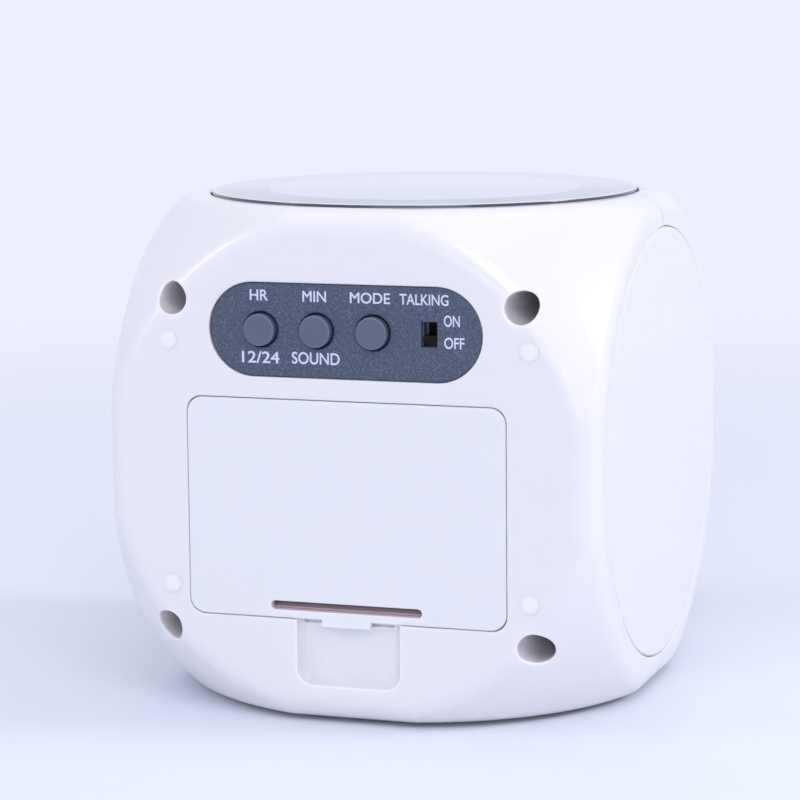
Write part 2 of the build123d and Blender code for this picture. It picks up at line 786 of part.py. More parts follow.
buttons = []
for key, x in button_x.items():
    with BuildPart() as button:
        with BuildSketch(at_y(button_face_y)):
            with Locations((x, panel_z)):
                Circle(button_radius)
        extrude(amount=button_face_y - button_foot_y)
        fillet(button.edges().group_by(Axis.Y)[-1], button_round)
        with BuildSketch(at_y(flange_front_y)):
            with Locations((x, panel_z)):
                Circle(button_flange)
        extrude(amount=flange_thickness)
    button.part.label = f"{key}_button"
    buttons.append(button.part)

with BuildPart() as key_board:
    with BuildSketch(at_y(key_board_back_y)):
        with Locations((0, panel_z)):
            RectangleRounded(key_board_width, key_board_height, small_board_corner)
        with Locations(*key_boss_places):
            Circle(small_screw_shank + fixed_gap, mode=Mode.SUBTRACT)
    extrude(amount=board_thickness)
key_board.part.label = "key_board"

case_width, case_depth, case_height = switch_case
case_face_y = key_board_back_y + case_depth
knob_width = switch_window_width - 2 * knob_gap
knob_height = switch_window_height - switch_travel - 2 * knob_gap
knob_z = panel_z - switch_travel / 2
slider_width = case_width - 2 * switch_sheet - 2 * knob_gap
slider_height = case_height - 2 * switch_sheet - switch_travel - 2 * knob_gap
slider_back_y = case_face_y - switch_sheet - knob_gap
slider_thickness = case_depth / 4

with BuildPart() as talking_switch_case:
    with BuildSketch(at_y(case_face_y)):
        with Locations((switch_x, panel_z)):
            Rectangle(case_width, case_height)
    extrude(amount=case_depth)
    with BuildSketch(at_y(case_face_y - switch_sheet)):
        with Locations((switch_x, panel_z)):
            Rectangle(case_width - 2 * switch_sheet, case_height - 2 * switch_sheet)
    extrude(amount=case_depth / 2, mode=Mode.SUBTRACT)
    with BuildSketch(at_y(case_face_y)):
        with Locations((switch_x, panel_z)):
            Rectangle(switch_window_width, knob_height + switch_travel + 2 * knob_gap)
    extrude(amount=switch_sheet, mode=Mode.SUBTRACT)
talking_switch_case.part.label = "talking_switch_case"

with BuildPart() as talking_switch_knob:
    with BuildSketch(at_y(slider_back_y)):
        with Locations((switch_x, knob_z)):
            Rectangle(slider_width, slider_height)
    extrude(amount=slider_thickness)
    with BuildSketch(at_y(panel_seat_y)):
        with Locations((switch_x, knob_z)):
            Rectangle(knob_width, knob_height)
    extrude(amount=panel_seat_y - slider_back_y)
talking_switch_knob.part.label = "talking_switch_knob"

# ================================================================ battery door, cells and contacts
with BuildPart() as battery_door:
    with BuildSketch(at_y(body_half)):
        with Locations((0, door_z)):
            RectangleRounded(door_width, door_height, door_corner)
        with Locations((0, door_bottom_z + slot_rise + slot_height / 2)):
            SlotOverall(slot_length, slot_height, mode=Mode.SUBTRACT)
    extrude(amount=door_thickness)
    fillet(battery_door.edges().group_by(Axis.Y)[-1], rim_round)
    # Latch tongue with the barb behind it, then the two hooks at the top.
    with BuildSketch(at_y(body_half)):
        with Locations((0, door_bottom_z)):
            Rectangle(latch_width, 2 * latch_reach)
    extrude(amount=latch_thickness)
    with BuildSketch(at_y(body_half - latch_thickness)):
        with Locations((0, barb_bottom_z)):
            Rectangle(barb_width, barb_height, align=above)
    extrude(amount=barb_reach)
    with BuildSketch(at_y(door_inner_y)):
        with Locations(*[(x, door_top_z - fixed_gap) for x in hook_places]):
            Rectangle(hook_width, neck_depth, align=below)
    extrude(amount=door_inner_y - hook_back_y)
    with BuildSketch(at_y(hook_front_y)):
        with Locations(*[(x, door_top_z + hook_rise) for x in hook_places]):
            Rectangle(hook_width, hook_rise + fixed_gap + neck_depth, align=below)
    extrude(amount=hook_thickness)
battery_door.part.label = "battery_door"

# Cells alternate: the outer two have their nubs at +X, the middle one at -X.
cell_sides = [1, -1, 1]
cell_names = ["battery_cell_top", "battery_cell_middle", "battery_cell_bottom"]
plus_x = bay_width / 2 - contact_thickness
cells = []
for name, side, z in zip(cell_names, cell_sides, cell_z):
    tip = Plane(origin=(side * plus_x, cell_y, z), z_dir=(-side, 0, 0))
    with BuildPart() as cell:
        with BuildSketch(tip.offset(nub_length)):
            Circle(cell_radius)
        extrude(amount=cell_length - nub_length)
        fillet(cell.edges().filter_by(GeomType.CIRCLE), cell_round)
        with BuildSketch(tip):
            Circle(nub_radius)
        extrude(amount=nub_length)
    cell.part.label = name
    cells.append(cell.part)

with BuildPart() as battery_terminals:
    for side, row in ((1, 0), (-1, 2)):
        outside = (side * bay_width / 2, cell_y, cell_z[row])
        with BuildSketch(Plane(origin=outside, x_dir=(0, 1, 0), z_dir=(-side, 0, 0))):
            Rectangle(contact_width, contact_width)
            with Locations((bay_front_y - tail_reach - cell_y, 0)):
                Rectangle(cell_y - bay_front_y + tail_reach, tail_width, align=(Align.MIN, Align.CENTER))
        extrude(amount=contact_thickness)
battery_terminals.part.label = "battery_terminals"

with BuildPart() as battery_jumpers:
    for side, rows in ((1, (1, 2)), (-1, (0, 1))):
        outside = (side * bay_width / 2, cell_y, (cell_z[rows[0]] + cell_z[rows[1]]) / 2)
        with BuildSketch(Plane(origin=outside, x_dir=(0, 1, 0), z_dir=(-side, 0, 0))):
            Rectangle(contact_width, contact_width + cell_pitch)
        extrude(amount=contact_thickness)
battery_jumpers.part.label = "battery_jumpers"

spring_room = spring_length - 2 * (spring_wire + thread_gap)
spring_base = contact_width / 2 - spring_wire - seat_gap
with BuildPart() as battery_springs:
    for side, z in zip(cell_sides, cell_z):
        foot_x = -side * (plus_x - spring_wire - thread_gap)
        foot = (foot_x, cell_y, z)
        inwards = (side, 0, 0)
        pitch = spring_room / spring_turns
        with BuildLine() as coil:
            Helix(pitch, spring_room, spring_base, center=foot, direction=inwards, cone_angle=spring_cone)
        with BuildSketch(Plane(origin=coil.line @ 0, z_dir=coil.line % 0)):
            Circle(spring_wire)
        sweep(path=coil.line, is_frenet=True)
battery_springs.part.label = "battery_springs"

# ================================================================ display
with BuildPart() as front_lens:
    with BuildSketch(at_y(-body_half + lens_thickness)):
        with Locations((0, centre_z)):
            Circle(disc_radius)
    extrude(amount=lens_thickness)
    fillet(front_lens.edges().sort_by(Axis.Y)[0], edge_round)
front_lens.part.label = "front_lens"

with BuildPart() as display_mask:
    with BuildSketch(at_y(lens_seat_y)):
        with Locations((0, centre_z)):
            Circle(disc_radius)
            RectangleRounded(view_width, view_height, frame_wall, mode=Mode.SUBTRACT)
    extrude(amount=mask_thickness)
display_mask.part.label = "display_mask"

with BuildPart() as lcd_glass:
    with BuildSketch(at_y(glass_back_y)):
        with Locations((0, centre_z)):
            Rectangle(glass_width, glass_height)
    extrude(amount=glass_thickness)
lcd_glass.part.label = "lcd_glass"

frame_inner_width = glass_width + 2 * frame_clearance
frame_inner_height = glass_height + 2 * frame_clearance
with BuildPart() as lcd_frame:
    with BuildSketch(at_y(board_front_y)):
        with Locations((0, centre_z)):
            Rectangle(frame_inner_width + 2 * frame_wall, frame_inner_height + 2 * frame_wall)
            Rectangle(frame_inner_width, frame_inner_height, mode=Mode.SUBTRACT)
    extrude(amount=board_front_y - glass_front_y)
lcd_frame.part.label = "lcd_frame"

strip_rise = glass_height / 2 - strip_thickness / 2 - frame_clearance
with BuildPart() as zebra_strips:
    with BuildSketch(at_y(board_front_y)):
        with Locations((0, centre_z - strip_rise), (0, centre_z + strip_rise)):
            Rectangle(strip_length, strip_thickness)
    extrude(amount=strip_height)
zebra_strips.part.label = "zebra_strips"

guide_back_y = glass_back_y + seat_gap + guide_thickness
leg = 3 * frame_clearance + strip_thickness
with BuildPart() as light_guide:
    with BuildSketch(at_y(guide_back_y)):
        with Locations((0, centre_z)):
            Rectangle(guide_width, guide_height)
    extrude(amount=guide_thickness)
    with BuildSketch(at_y(board_front_y)):
        with Locations((0, centre_z)):
            with GridLocations(guide_width - leg, guide_height - leg, 2, 2):
                Rectangle(leg, leg)
    extrude(amount=board_front_y - guide_back_y)
light_guide.part.label = "light_guide"

with BuildPart() as backlight_led:
    with BuildSketch(at_y(board_front_y)):
        with Locations((-guide_width / 2 - frame_clearance - backlight_size / 2, centre_z)):
            Rectangle(backlight_size, 2 * backlight_size)
    extrude(amount=board_front_y - guide_back_y + guide_thickness / 2)
backlight_led.part.label = "backlight_led"

with BuildPart() as main_board:
    with BuildSketch(at_y(board_back_y)):
        with Locations((0, centre_z)):
            RectangleRounded(board_width, board_height, board_corner)
        with Locations(*board_boss_places):
            Circle(small_screw_shank + fixed_gap, mode=Mode.SUBTRACT)
    extrude(amount=board_thickness)
main_board.part.label = "main_board"

# ================================================================ parts on the main board
board_middle = Plane(origin=(0, board_back_y, centre_z), x_dir=(1, 0, 0), z_dir=(0, -1, 0))

with BuildPart() as clock_chip:
    with BuildSketch(board_middle):
        with Locations(chip_place):
            Circle(chip_radius)
    extrude(amount=-chip_height)
    fillet(clock_chip.edges().sort_by(Axis.Y)[-1], chip_round)
clock_chip.part.label = "clock_chip"

crystal_x, crystal_rise = crystal_place
crystal_axis = (crystal_x, board_back_y + can_radius + thread_gap, centre_z + crystal_rise)
with BuildPart() as crystal:
    with Locations(Plane(origin=crystal_axis, z_dir=(1, 0, 0))):
        Cylinder(can_radius, can_length)
    fillet(crystal.edges().filter_by(GeomType.CIRCLE), can_round)
crystal.part.label = "crystal"

with BuildPart() as capacitors:
    with BuildSketch(board_middle):
        with Locations(*capacitor_places):
            Circle(capacitor_radius)
    extrude(amount=-capacitor_height)
    fillet(capacitors.edges().group_by(Axis.Y)[-1], capacitor_round)
capacitors.part.label = "capacitors"

bead_x, bead_z = bead_place
with BuildPart() as temperature_sensor:
    with BuildSketch(board_middle):
        with Locations((bead_x - bead_leg_pitch / 2, bead_z), (bead_x + bead_leg_pitch / 2, bead_z)):
            Circle(bead_leg)
    extrude(amount=-bead_rise)
    with Locations((bead_x, board_back_y + bead_rise, centre_z + bead_z)):
        Sphere(bead_radius)
temperature_sensor.part.label = "temperature_sensor"

# ================================================================ speaker
frame_radius = speaker_radius - speaker_surround
basket_top = speaker_flange + basket_height
magnet_ring = magnet_radius + magnet_margin
tab_top_z = base_plate_top_z + basket_top
speaker_plane = Plane(origin=(0, 0, base_plate_top_z), x_dir=(1, 0, 0), z_dir=(0, -1, 0))

with BuildPart() as speaker_frame:
    with BuildSketch(speaker_plane):
        with BuildLine():
            Polyline(
                (frame_radius, 0),
                (speaker_radius, 0),
                (speaker_radius, speaker_flange),
                (frame_radius + basket_sheet / 2, speaker_flange),
                (magnet_ring, basket_top),
                (0, basket_top),
                (0, basket_top - basket_sheet),
                (magnet_ring - basket_sheet / 2, basket_top - basket_sheet),
                (frame_radius - basket_sheet, basket_sheet),
                (frame_radius, basket_sheet),
                close=True,
            )
        make_face()
    revolve(axis=Axis.Z)
    with Locations((-tab_reach, 0, tab_top_z - tab_rise)):
        Box(tab_length, tab_length, tab_rise, align=(Align.MAX, Align.CENTER, Align.MIN))
speaker_frame.part.label = "speaker_frame"

with BuildPart() as speaker_cone:
    with BuildSketch(speaker_plane):
        with BuildLine():
            Polyline(
                (frame_radius - thread_gap, basket_sheet),
                (frame_radius - thread_gap, basket_sheet - cone_sheet),
                (frame_radius - 2 * basket_sheet, basket_sheet - cone_sheet),
                (coil_radius, basket_top - 2 * basket_sheet - cone_sheet),
                (coil_radius, basket_top - 2 * basket_sheet),
                (frame_radius - 2 * basket_sheet, basket_sheet),
                close=True,
            )
        make_face()
        with BuildLine():
            Polyline(
                (coil_radius, basket_top - 2 * basket_sheet),
                (coil_radius, basket_top - 2 * basket_sheet - cone_sheet),
                (0, basket_top - 2 * basket_sheet - dome_rise - cone_sheet),
                (0, basket_top - 2 * basket_sheet - dome_rise),
                close=True,
            )
        make_face()
    revolve(axis=Axis.Z)
speaker_cone.part.label = "speaker_cone"

with BuildPart() as speaker_magnet:
    with BuildSketch(at_z(base_plate_top_z + basket_top)):
        Circle(magnet_radius)
    extrude(amount=magnet_height)
    chamfer(speaker_magnet.edges().filter_by(GeomType.CIRCLE), basket_sheet / 2)
speaker_magnet.part.label = "speaker_magnet"

# ================================================================ projector
barrel_rear_x = barrel_nose_x - barrel_length
slide_x = barrel_rear_x + led_length + slide_gap
lens_seat_x = barrel_nose_x - lens_bore_depth
ear_plate_x = ear_face_x - flange_plate
throat_radius = slide_radius - slide_ledge
led_board_size = 2 * (barrel_radius + led_board_margin)
led_head = led_length - led_radius
optic_centre = (0, centre_z)

with BuildPart() as projector_barrel:
    with BuildSketch(at_x(barrel_rear_x)):
        with Locations(optic_centre):
            Circle(barrel_radius)
    extrude(amount=barrel_length)
    with BuildSketch(at_x(ear_plate_x)):
        with Locations(optic_centre):
            Circle(barrel_radius)
        with Locations(*ear_places):
            Circle(ear_radius)
        make_hull()
        with Locations(*ear_places):
            Circle(small_screw_shank + fixed_gap, mode=Mode.SUBTRACT)
    extrude(amount=flange_plate)
    with BuildSketch(at_x(barrel_rear_x)):
        with Locations(optic_centre):
            Circle(throat_radius)
    extrude(amount=barrel_length, mode=Mode.SUBTRACT)
    with BuildSketch(at_x(slide_x)):
        with Locations(optic_centre):
            Circle(slide_radius + thread_gap)
    extrude(amount=barrel_length, mode=Mode.SUBTRACT)
    with BuildSketch(at_x(lens_seat_x)):
        with Locations(optic_centre):
            Circle(lens_radius + thread_gap)
    extrude(amount=barrel_length, mode=Mode.SUBTRACT)
projector_barrel.part.label = "projector_barrel"

with BuildPart() as projector_slide:
    with BuildSketch(at_x(slide_x)):
        with Locations(optic_centre):
            Circle(slide_radius)
    extrude(amount=slide_thickness)
projector_slide.part.label = "projector_slide"

with BuildPart() as projector_lens:
    with BuildSketch(at_x(lens_seat_x)):
        with Locations(optic_centre):
            Circle(lens_radius)
    extrude(amount=projector_lens_depth)
    fillet(projector_lens.edges().sort_by(Axis.X)[-1], projector_lens_round)
projector_lens.part.label = "projector_lens"

with BuildPart() as led_board:
    with BuildSketch(at_x(barrel_rear_x - board_thickness)):
        with Locations(optic_centre):
            RectangleRounded(led_board_size, led_board_size, small_board_corner)
    extrude(amount=board_thickness)
led_board.part.label = "led_board"

with BuildPart() as projector_led:
    with BuildSketch(at_x(barrel_rear_x)):
        with Locations(optic_centre):
            Circle(led_radius)
    extrude(amount=led_head)
    with Locations((barrel_rear_x + led_head, 0, centre_z)):
        Sphere(led_radius)
    split(bisect_by=at_x(barrel_rear_x), keep=Keep.TOP)
projector_led.part.label = "projector_led"


# ================================================================ leads
def lead_line(points):
    """Straight runs joined by tangent arcs as large as their runs allow."""
    radii = []
    for before, here, after in zip(points, points[1:], points[2:]):
        run_in = Vector(*here) - Vector(*before)
        run_out = Vector(*after) - Vector(*here)
        half_turn = run_in.get_angle(run_out) / 2
        shorter = min(run_in.length, run_out.length)
        radii.append(0.45 * shorter / tan(half_turn * pi / 180))
    print("lead radii", [round(radius, 1) for radius in radii])
    return FilletPolyline(*points, radius=radii)


def lead_pair(points, side):
    """Two insulated wires side by side, a pitch apart along side."""
    with BuildPart() as pair:
        for step in (-0.5, 0.5):
            shift = Vector(*side) * (step * lead_pitch)
            with BuildLine() as route:
                lead_line([tuple(Vector(*point) + shift) for point in points])
            with BuildSketch(Plane(origin=route.line @ 0, z_dir=route.line % 0)):
                Circle(lead_radius)
            sweep(path=route.line)
    return pair.part


def landing(pad, run):
    """The last two points of a lead that lands square on a pad of the main board."""
    x, rise = pad
    return [(x, board_back_y + run, centre_z + rise), (x, board_back_y, centre_z + rise)]


# Every lead leaves its pad, and reaches the next one, square to the board.
sideways = (1.0, 0.0, 0.0)
upright = (0.0, 0.0, 1.0)
tab_x = -tab_reach - tab_length / 2
speaker_leads = lead_pair(
    [
        (tab_x, 0, tab_top_z),
        (tab_x, 0, tab_top_z + lead_start),
        (-15, -7, tab_top_z + 11.5),
        (-17, -16, tab_top_z + 16.5),
        *landing(speaker_pad, lead_start),
    ],
    sideways,
)
speaker_leads.label = "speaker_leads"

snooze_leads = lead_pair(
    [
        (-7, 1, snooze_board_bottom_z),
        (-7, 1, snooze_board_bottom_z - lead_start),
        (-8, -6, snooze_board_bottom_z - 8.2),
        (-9, -15, snooze_board_bottom_z - 8.6),
        *landing(snooze_pad, lead_start),
    ],
    sideways,
)
snooze_leads.label = "snooze_leads"

led_board_rear_x = barrel_rear_x - board_thickness
projector_leads = lead_pair(
    [
        (led_board_rear_x, -3, centre_z + 4),
        (led_board_rear_x - lead_start, -3, centre_z + 4),
        (led_board_rear_x - 8, -9, centre_z + 6),
        (led_board_rear_x - 9, -16, centre_z + 7),
        *landing(projector_pad, lead_start),
    ],
    upright,
)
projector_leads.label = "projector_leads"

# The red lead passes over the projector's barrel, and the black one runs beside the bay.
tail_y = bay_front_y - tail_reach
over_barrel_z = centre_z + barrel_radius + 5
red_lead_points = [
    (terminal_x, tail_y, cell_z[0]),
    (terminal_x, tail_y - lead_start, cell_z[0]),
    (terminal_x - 1, tail_y - 10, over_barrel_z - 2),
    (terminal_x - 2, 4, over_barrel_z),
    (terminal_x - 3, -8, over_barrel_z),
    (terminal_x - 4, -17, over_barrel_z - 1),
    *landing(red_pad, lead_start),
]
black_lead_points = [
    (-terminal_x, tail_y, cell_z[-1]),
    (-terminal_x, tail_y - 7, cell_z[-1]),
    (-terminal_x + 1, 6, cell_z[-1] + 3),
    (-terminal_x + 2, -5, cell_z[-1] + 8),
    (-terminal_x + 2, -15, cell_z[-1] + 12),
    *landing(black_pad, lead_start),
]
with BuildPart() as battery_leads:
    for points in (red_lead_points, black_lead_points):
        with BuildLine() as route:
            lead_line(points)
        with BuildSketch(Plane(origin=route.line @ 0, z_dir=route.line % 0)):
            Circle(lead_radius)
        sweep(path=route.line)
battery_leads.part.label = "battery_leads"

# A flat ribbon carries the keys' signals over the battery bay to the main board.
ribbon_z = panel_z - key_board_height / 4
with BuildPart() as key_ribbon:
    with BuildLine() as route:
        lead_line(
            [
                (0, key_board_front_y, ribbon_z),
                (0, key_board_front_y - ribbon_start, ribbon_z),
                (0, 9, ribbon_z - 3),
                (0, -5, ribbon_z - 4),
                *landing(ribbon_pad, ribbon_start),
            ]
        )
    with BuildSketch(Plane(origin=route.line @ 0, x_dir=sideways, z_dir=route.line % 0)):
        Rectangle(ribbon_width, ribbon_thickness)
    sweep(path=route.line)
key_ribbon.part.label = "key_ribbon"

# ================================================================ export, one file per piece
pieces = [
    front_shell.part,
    rear_shell.part,
    left_side_disc.part,
    right_side_disc.part,
    projector_window.part,
    base_plate.part,
    rubber_feet.part,
    shell_screws,
    small_screws,
    snooze_plate.part,
    snooze_carrier.part,
    snooze_post_screws,
    snooze_board.part,
    snooze_switch_body,
    snooze_switch_plunger,
    key_switch_bodies,
    *key_plungers,
    control_panel.part,
    *buttons,
    key_board.part,
    talking_switch_case.part,
    talking_switch_knob.part,
    battery_door.part,
    *cells,
    battery_terminals.part,
    battery_jumpers.part,
    battery_springs.part,
    front_lens.part,
    display_mask.part,
    lcd_glass.part,
    lcd_frame.part,
    zebra_strips.part,
    light_guide.part,
    backlight_led.part,
    main_board.part,
    clock_chip.part,
    crystal.part,
    capacitors.part,
    temperature_sensor.part,
    speaker_frame.part,
    speaker_cone.part,
    speaker_magnet.part,
    projector_barrel.part,
    projector_slide.part,
    projector_lens.part,
    led_board.part,
    projector_led.part,
    speaker_leads,
    snooze_leads,
    projector_leads,
    battery_leads.part,
    key_ribbon.part,
]
for piece in pieces:
    export_step(piece, f"parts/{piece.label}.step")
print(len(pieces), "nodes")
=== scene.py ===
import bpy
from math import pi, radians
from mathutils import Matrix, Vector


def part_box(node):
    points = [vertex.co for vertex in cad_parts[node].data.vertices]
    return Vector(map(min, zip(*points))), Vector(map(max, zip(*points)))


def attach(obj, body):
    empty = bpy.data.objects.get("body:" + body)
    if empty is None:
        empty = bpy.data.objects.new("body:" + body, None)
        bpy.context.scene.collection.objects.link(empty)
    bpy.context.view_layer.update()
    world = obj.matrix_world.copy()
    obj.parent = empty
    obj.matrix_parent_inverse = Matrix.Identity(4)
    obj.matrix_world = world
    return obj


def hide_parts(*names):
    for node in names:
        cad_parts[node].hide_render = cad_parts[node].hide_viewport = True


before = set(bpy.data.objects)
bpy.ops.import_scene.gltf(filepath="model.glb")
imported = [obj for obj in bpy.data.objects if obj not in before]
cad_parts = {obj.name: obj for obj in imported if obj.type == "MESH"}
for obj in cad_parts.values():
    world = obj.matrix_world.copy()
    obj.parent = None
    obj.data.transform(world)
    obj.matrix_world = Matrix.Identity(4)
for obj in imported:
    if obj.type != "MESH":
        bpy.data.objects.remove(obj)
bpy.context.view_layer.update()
bpy.ops.object.select_all(action="DESELECT")
mm = 0.001

# ---------------------------------------------------------------- camera
# The clock is seen from behind and a little above, from its left side, through a long lens that
# stands half a metre away.
camera_place = Vector((-157.3, 471.7, 119.6)) * mm
heading = 180.0 + 18.94
tilt = 8.476
roll = -0.534
lens_length = 137.4

bpy.ops.object.camera_add()
camera = bpy.context.object
camera.name = "studio_camera"
camera.data.lens = lens_length
camera.data.sensor_width = 36.0
camera.data.clip_start = 0.01
camera.matrix_world = (
    Matrix.Translation(camera_place)
    @ Matrix.Rotation(radians(heading), 4, "Z")
    @ Matrix.Rotation(radians(90.0 - tilt), 4, "X")
    @ Matrix.Rotation(radians(roll), 4, "Z")
)
bpy.context.scene.camera = camera
bpy.context.scene.view_settings.view_transform = "Standard"


# ---------------------------------------------------------------- studio
# A wide pale table that runs out into a backdrop of the same colour, under large soft lamps. The
# first finish is made here, so the classes that every finish uses stand here as well.
class Value:
    """A shader socket that adds, multiplies and compares like a number."""

    def __init__(self, finish, socket):
        self.finish = finish
        self.socket = socket

    def math(self, operation, first, second=0.0):
        settings = {"operation": operation}
        return self.finish.node("ShaderNodeMath", settings, {0: first, 1: second})

    def __add__(self, other):
        return self.math("ADD", self, other)

    def __radd__(self, other):
        return self.math("ADD", other, self)

    def __sub__(self, other):
        return self.math("SUBTRACT", self, other)

    def __rsub__(self, other):
        return self.math("SUBTRACT", other, self)

    def __mul__(self, other):
        return self.math("MULTIPLY", self, other)

    def __rmul__(self, other):
        return self.math("MULTIPLY", other, self)

    def __truediv__(self, other):
        return self.math("DIVIDE", self, other)

    def __gt__(self, other):
        return self.math("GREATER_THAN", self, other)

    def __lt__(self, other):
        return self.math("LESS_THAN", self, other)

    def __abs__(self):
        return self.math("ABSOLUTE", self)

    def __mod__(self, other):
        return self.math("FLOORED_MODULO", self, other)

    def top(self, other):
        """The larger of two values."""
        return self.math("MAXIMUM", self, other)

    def reach(self, other):
        """How far a point at these two coordinates is from their zero."""
        squares = self * self + other * other
        return self.math("SQRT", squares)


class Nodes:
    """A node tree that is built node by node."""

    def __init__(self, tree):
        self.tree = tree

    def plug(self, socket, value):
        if isinstance(value, Value):
            self.tree.links.new(value.socket, socket)
        elif isinstance(value, tuple) and len(value) == 3 and socket.type == "RGBA":
            socket.default_value = (*value, 1.0)
        else:
            socket.default_value = value

    def node(self, kind, settings=None, sockets=None, output=0):
        """Adds a node: its settings first, then the values or links of its sockets."""
        step = self.tree.nodes.new(kind)
        for name, value in (settings or {}).items():
            setattr(step, name, value)
        for name, value in (sockets or {}).items():
            self.plug(step.inputs[name], value)
        return Value(self, step.outputs[output])

    def direct_look(self):
        """1 where the eye looks, also in a mirror or through glass, and 0 for other light."""
        rays = self.node("ShaderNodeLightPath")
        kinds = rays.socket.node.outputs
        look = Value(self, kinds["Is Camera Ray"])
        for kind in ("Is Glossy Ray", "Is Transmission Ray"):
            look = look.top(Value(self, kinds[kind]))
        return look


class Finish(Nodes):
    """One material and its surface shader."""

    def __init__(self, name, **constants):
        self.material = bpy.data.materials.new(name)
        self.material.use_nodes = True
        super().__init__(self.material.node_tree)
        self.shader = self.tree.nodes["Principled BSDF"]
        for socket, value in constants.items():
            self.feed(socket.replace("_", " ").title().replace("Ior", "IOR"), value)

    def feed(self, socket, value):
        """Sets or links one socket of the shader."""
        self.plug(self.shader.inputs[socket], value)

    def place(self):
        """Where a point is on the piece, in metres."""
        return self.node("ShaderNodeTexCoord", output="Object")

    def axes(self):
        """The three coordinates of a point on the piece, in metres."""
        split = self.node("ShaderNodeSeparateXYZ", sockets={0: self.place()})
        return [Value(self, socket) for socket in split.socket.node.outputs]

    def noise(self, scale, detail=2.0, stretch=None):
        """Cloudy noise from 0 to 1; scale is in blobs to the metre."""
        where = self.place()
        if stretch:
            where = self.node("ShaderNodeMapping", sockets={"Vector": where, "Scale": stretch})
        sockets = {"Vector": where, "Scale": scale, "Detail": detail}
        return self.node("ShaderNodeTexNoise", sockets=sockets)

    def tint(self, share, first, second):
        """Two colours mixed by a share from 0 to 1."""
        return self.node("ShaderNodeMix", {"data_type": "RGBA"}, {0: share, 6: first, 7: second}, 2)

    def step(self, value, low, high):
        """0 below low, 1 above high, and smooth between."""
        settings = {"interpolation_type": "SMOOTHSTEP"}
        sockets = {"Value": value, "From Min": low, "From Max": high}
        return self.node("ShaderNodeMapRange", settings, sockets)

    def spread(self, share, low, high):
        """A share from 0 to 1 turned into a number from low to high."""
        return share * (high - low) + low

    def mottle(self, scale, detail, colours, gloss, depth=0.0, stretch=None):
        """Colour and roughness that both follow one noise, and relief where a depth is given."""
        grain = self.noise(scale, detail, stretch)
        self.feed("Base Color", self.tint(grain, *colours))
        self.feed("Roughness", self.spread(grain, *gloss))
        if depth:
            self.relief(grain, depth)

    def relief(self, height, depth):
        """Feeds a height map, from 0 to 1, into the surface; depth is in metres."""
        sockets = {"Height": height, "Distance": depth, "Strength": 1.0}
        self.feed("Normal", self.node("ShaderNodeBump", sockets=sockets))


table_colour = (0.785, 0.815, 0.905)
backdrop_colour = (0.84, 0.865, 1.0)
table_radius = 9.0
table_sides = 96
lit_radius = 0.12       # the table is lit as it is out to here
far_radius = 0.55       # from here on it has the backdrop's colour

bpy.ops.mesh.primitive_circle_add(vertices=table_sides, radius=table_radius, fill_type="NGON")
table = bpy.context.object
table.name = "table"
table_finish = Finish("table_paper", base_color=table_colour, roughness=0.75)
table_x, table_y = table_finish.axes()[:2]
glow = table_finish.node("ShaderNodeEmission", sockets={"Color": backdrop_colour, "Strength": 1.0})
distance = table_finish.step(table_x.reach(table_y), lit_radius, far_radius)
fade = distance * table_finish.direct_look()
lit = Value(table_finish, table_finish.shader.outputs[0])
mixed = table_finish.node("ShaderNodeMixShader", sockets={0: fade, 1: lit, 2: glow})
table_finish.plug(table_finish.tree.nodes["Material Output"].inputs["Surface"], mixed)
table.data.materials.append(table_finish.material)

ambient_strength = 0.72
world = bpy.data.worlds.new("studio_air")
bpy.context.scene.world = world
world.use_nodes = True
air = Nodes(world.node_tree)
sky = world.node_tree.nodes["Background"]
air.plug(sky.inputs["Color"], backdrop_colour)
air.plug(sky.inputs["Strength"], air.direct_look() * (1.0 - ambient_strength) + ambient_strength)

# Each soft box: its place, width, height, power and colour. All face the clock's middle.
soft_boxes = {
    "side_softbox": ((-1.0, -0.15, 0.60), 0.25, 0.25, 3.3, (1.0, 0.99, 1.0)),
    "front_softbox": ((-0.45, 0.75, 0.85), 0.5, 0.5, 3.0, (1.0, 0.98, 1.0)),
    "low_softbox": ((-0.35, 1.28, 0.25), 1.2, 0.4, 2.3, (0.98, 0.98, 1.0)),
    "top_softbox": ((0.0, 0.0, 1.1), 1.0, 1.0, 1.5, (0.97, 0.97, 1.0)),
    "strip_softbox": ((0.95, 0.50, 0.55), 0.22, 0.6, 1.4, (1.0, 0.99, 1.0)),
}
clock_middle = Vector((0.0, 0.0, 0.04))
for name, (place, width, height, power, colour) in soft_boxes.items():
    bpy.ops.object.light_add(type="AREA")
    box = bpy.context.object
    box.name = name
    box.data.shape = "RECTANGLE"
    box.data.size = width
    box.data.size_y = height
    box.data.energy = power
    box.data.color = colour
    turn = (clock_middle - Vector(place)).to_track_quat("-Z", "Y")
    box.matrix_world = Matrix.Translation(place) @ turn.to_matrix().to_4x4()


# ---------------------------------------------------------------- casing shells
# Two halves of a rounded cube, moulded in glossy white ABS and pulled together by four screws
# that go in from the back. Light leaks through the thin walls into the deep screw wells, and the
# wells are painted paler further down as painted light.
def dress(nodes, finish):
    """Pieces that keep their shape take a finish."""
    for node in nodes:
        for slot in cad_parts[node].material_slots:
            slot.material = finish.material


bleed_depth = 1.2 * mm        # how far light spreads in the white plastic
bleed_tint = (1.0, 0.85, 0.80)


def white_moulding(name, colour, shade, paint=None):
    """Glossy white ABS, a little cloudy, that lets warm light bleed through; paint adds painted
    light in places.
    """
    finish = Finish(
        name,
        coat_weight=0.6,
        coat_roughness=0.14,
        specular_ior_level=0.45,
        subsurface_weight=1.0,
        subsurface_radius=bleed_tint,
        subsurface_scale=bleed_depth,
    )
    plain = finish.tint(finish.noise(45.0, 3.0), colour, shade)
    finish.feed("Base Color", paint(finish, plain) if paint else plain)
    finish.feed("Roughness", finish.spread(finish.noise(220.0, 4.0), 0.29, 0.34))
    return finish


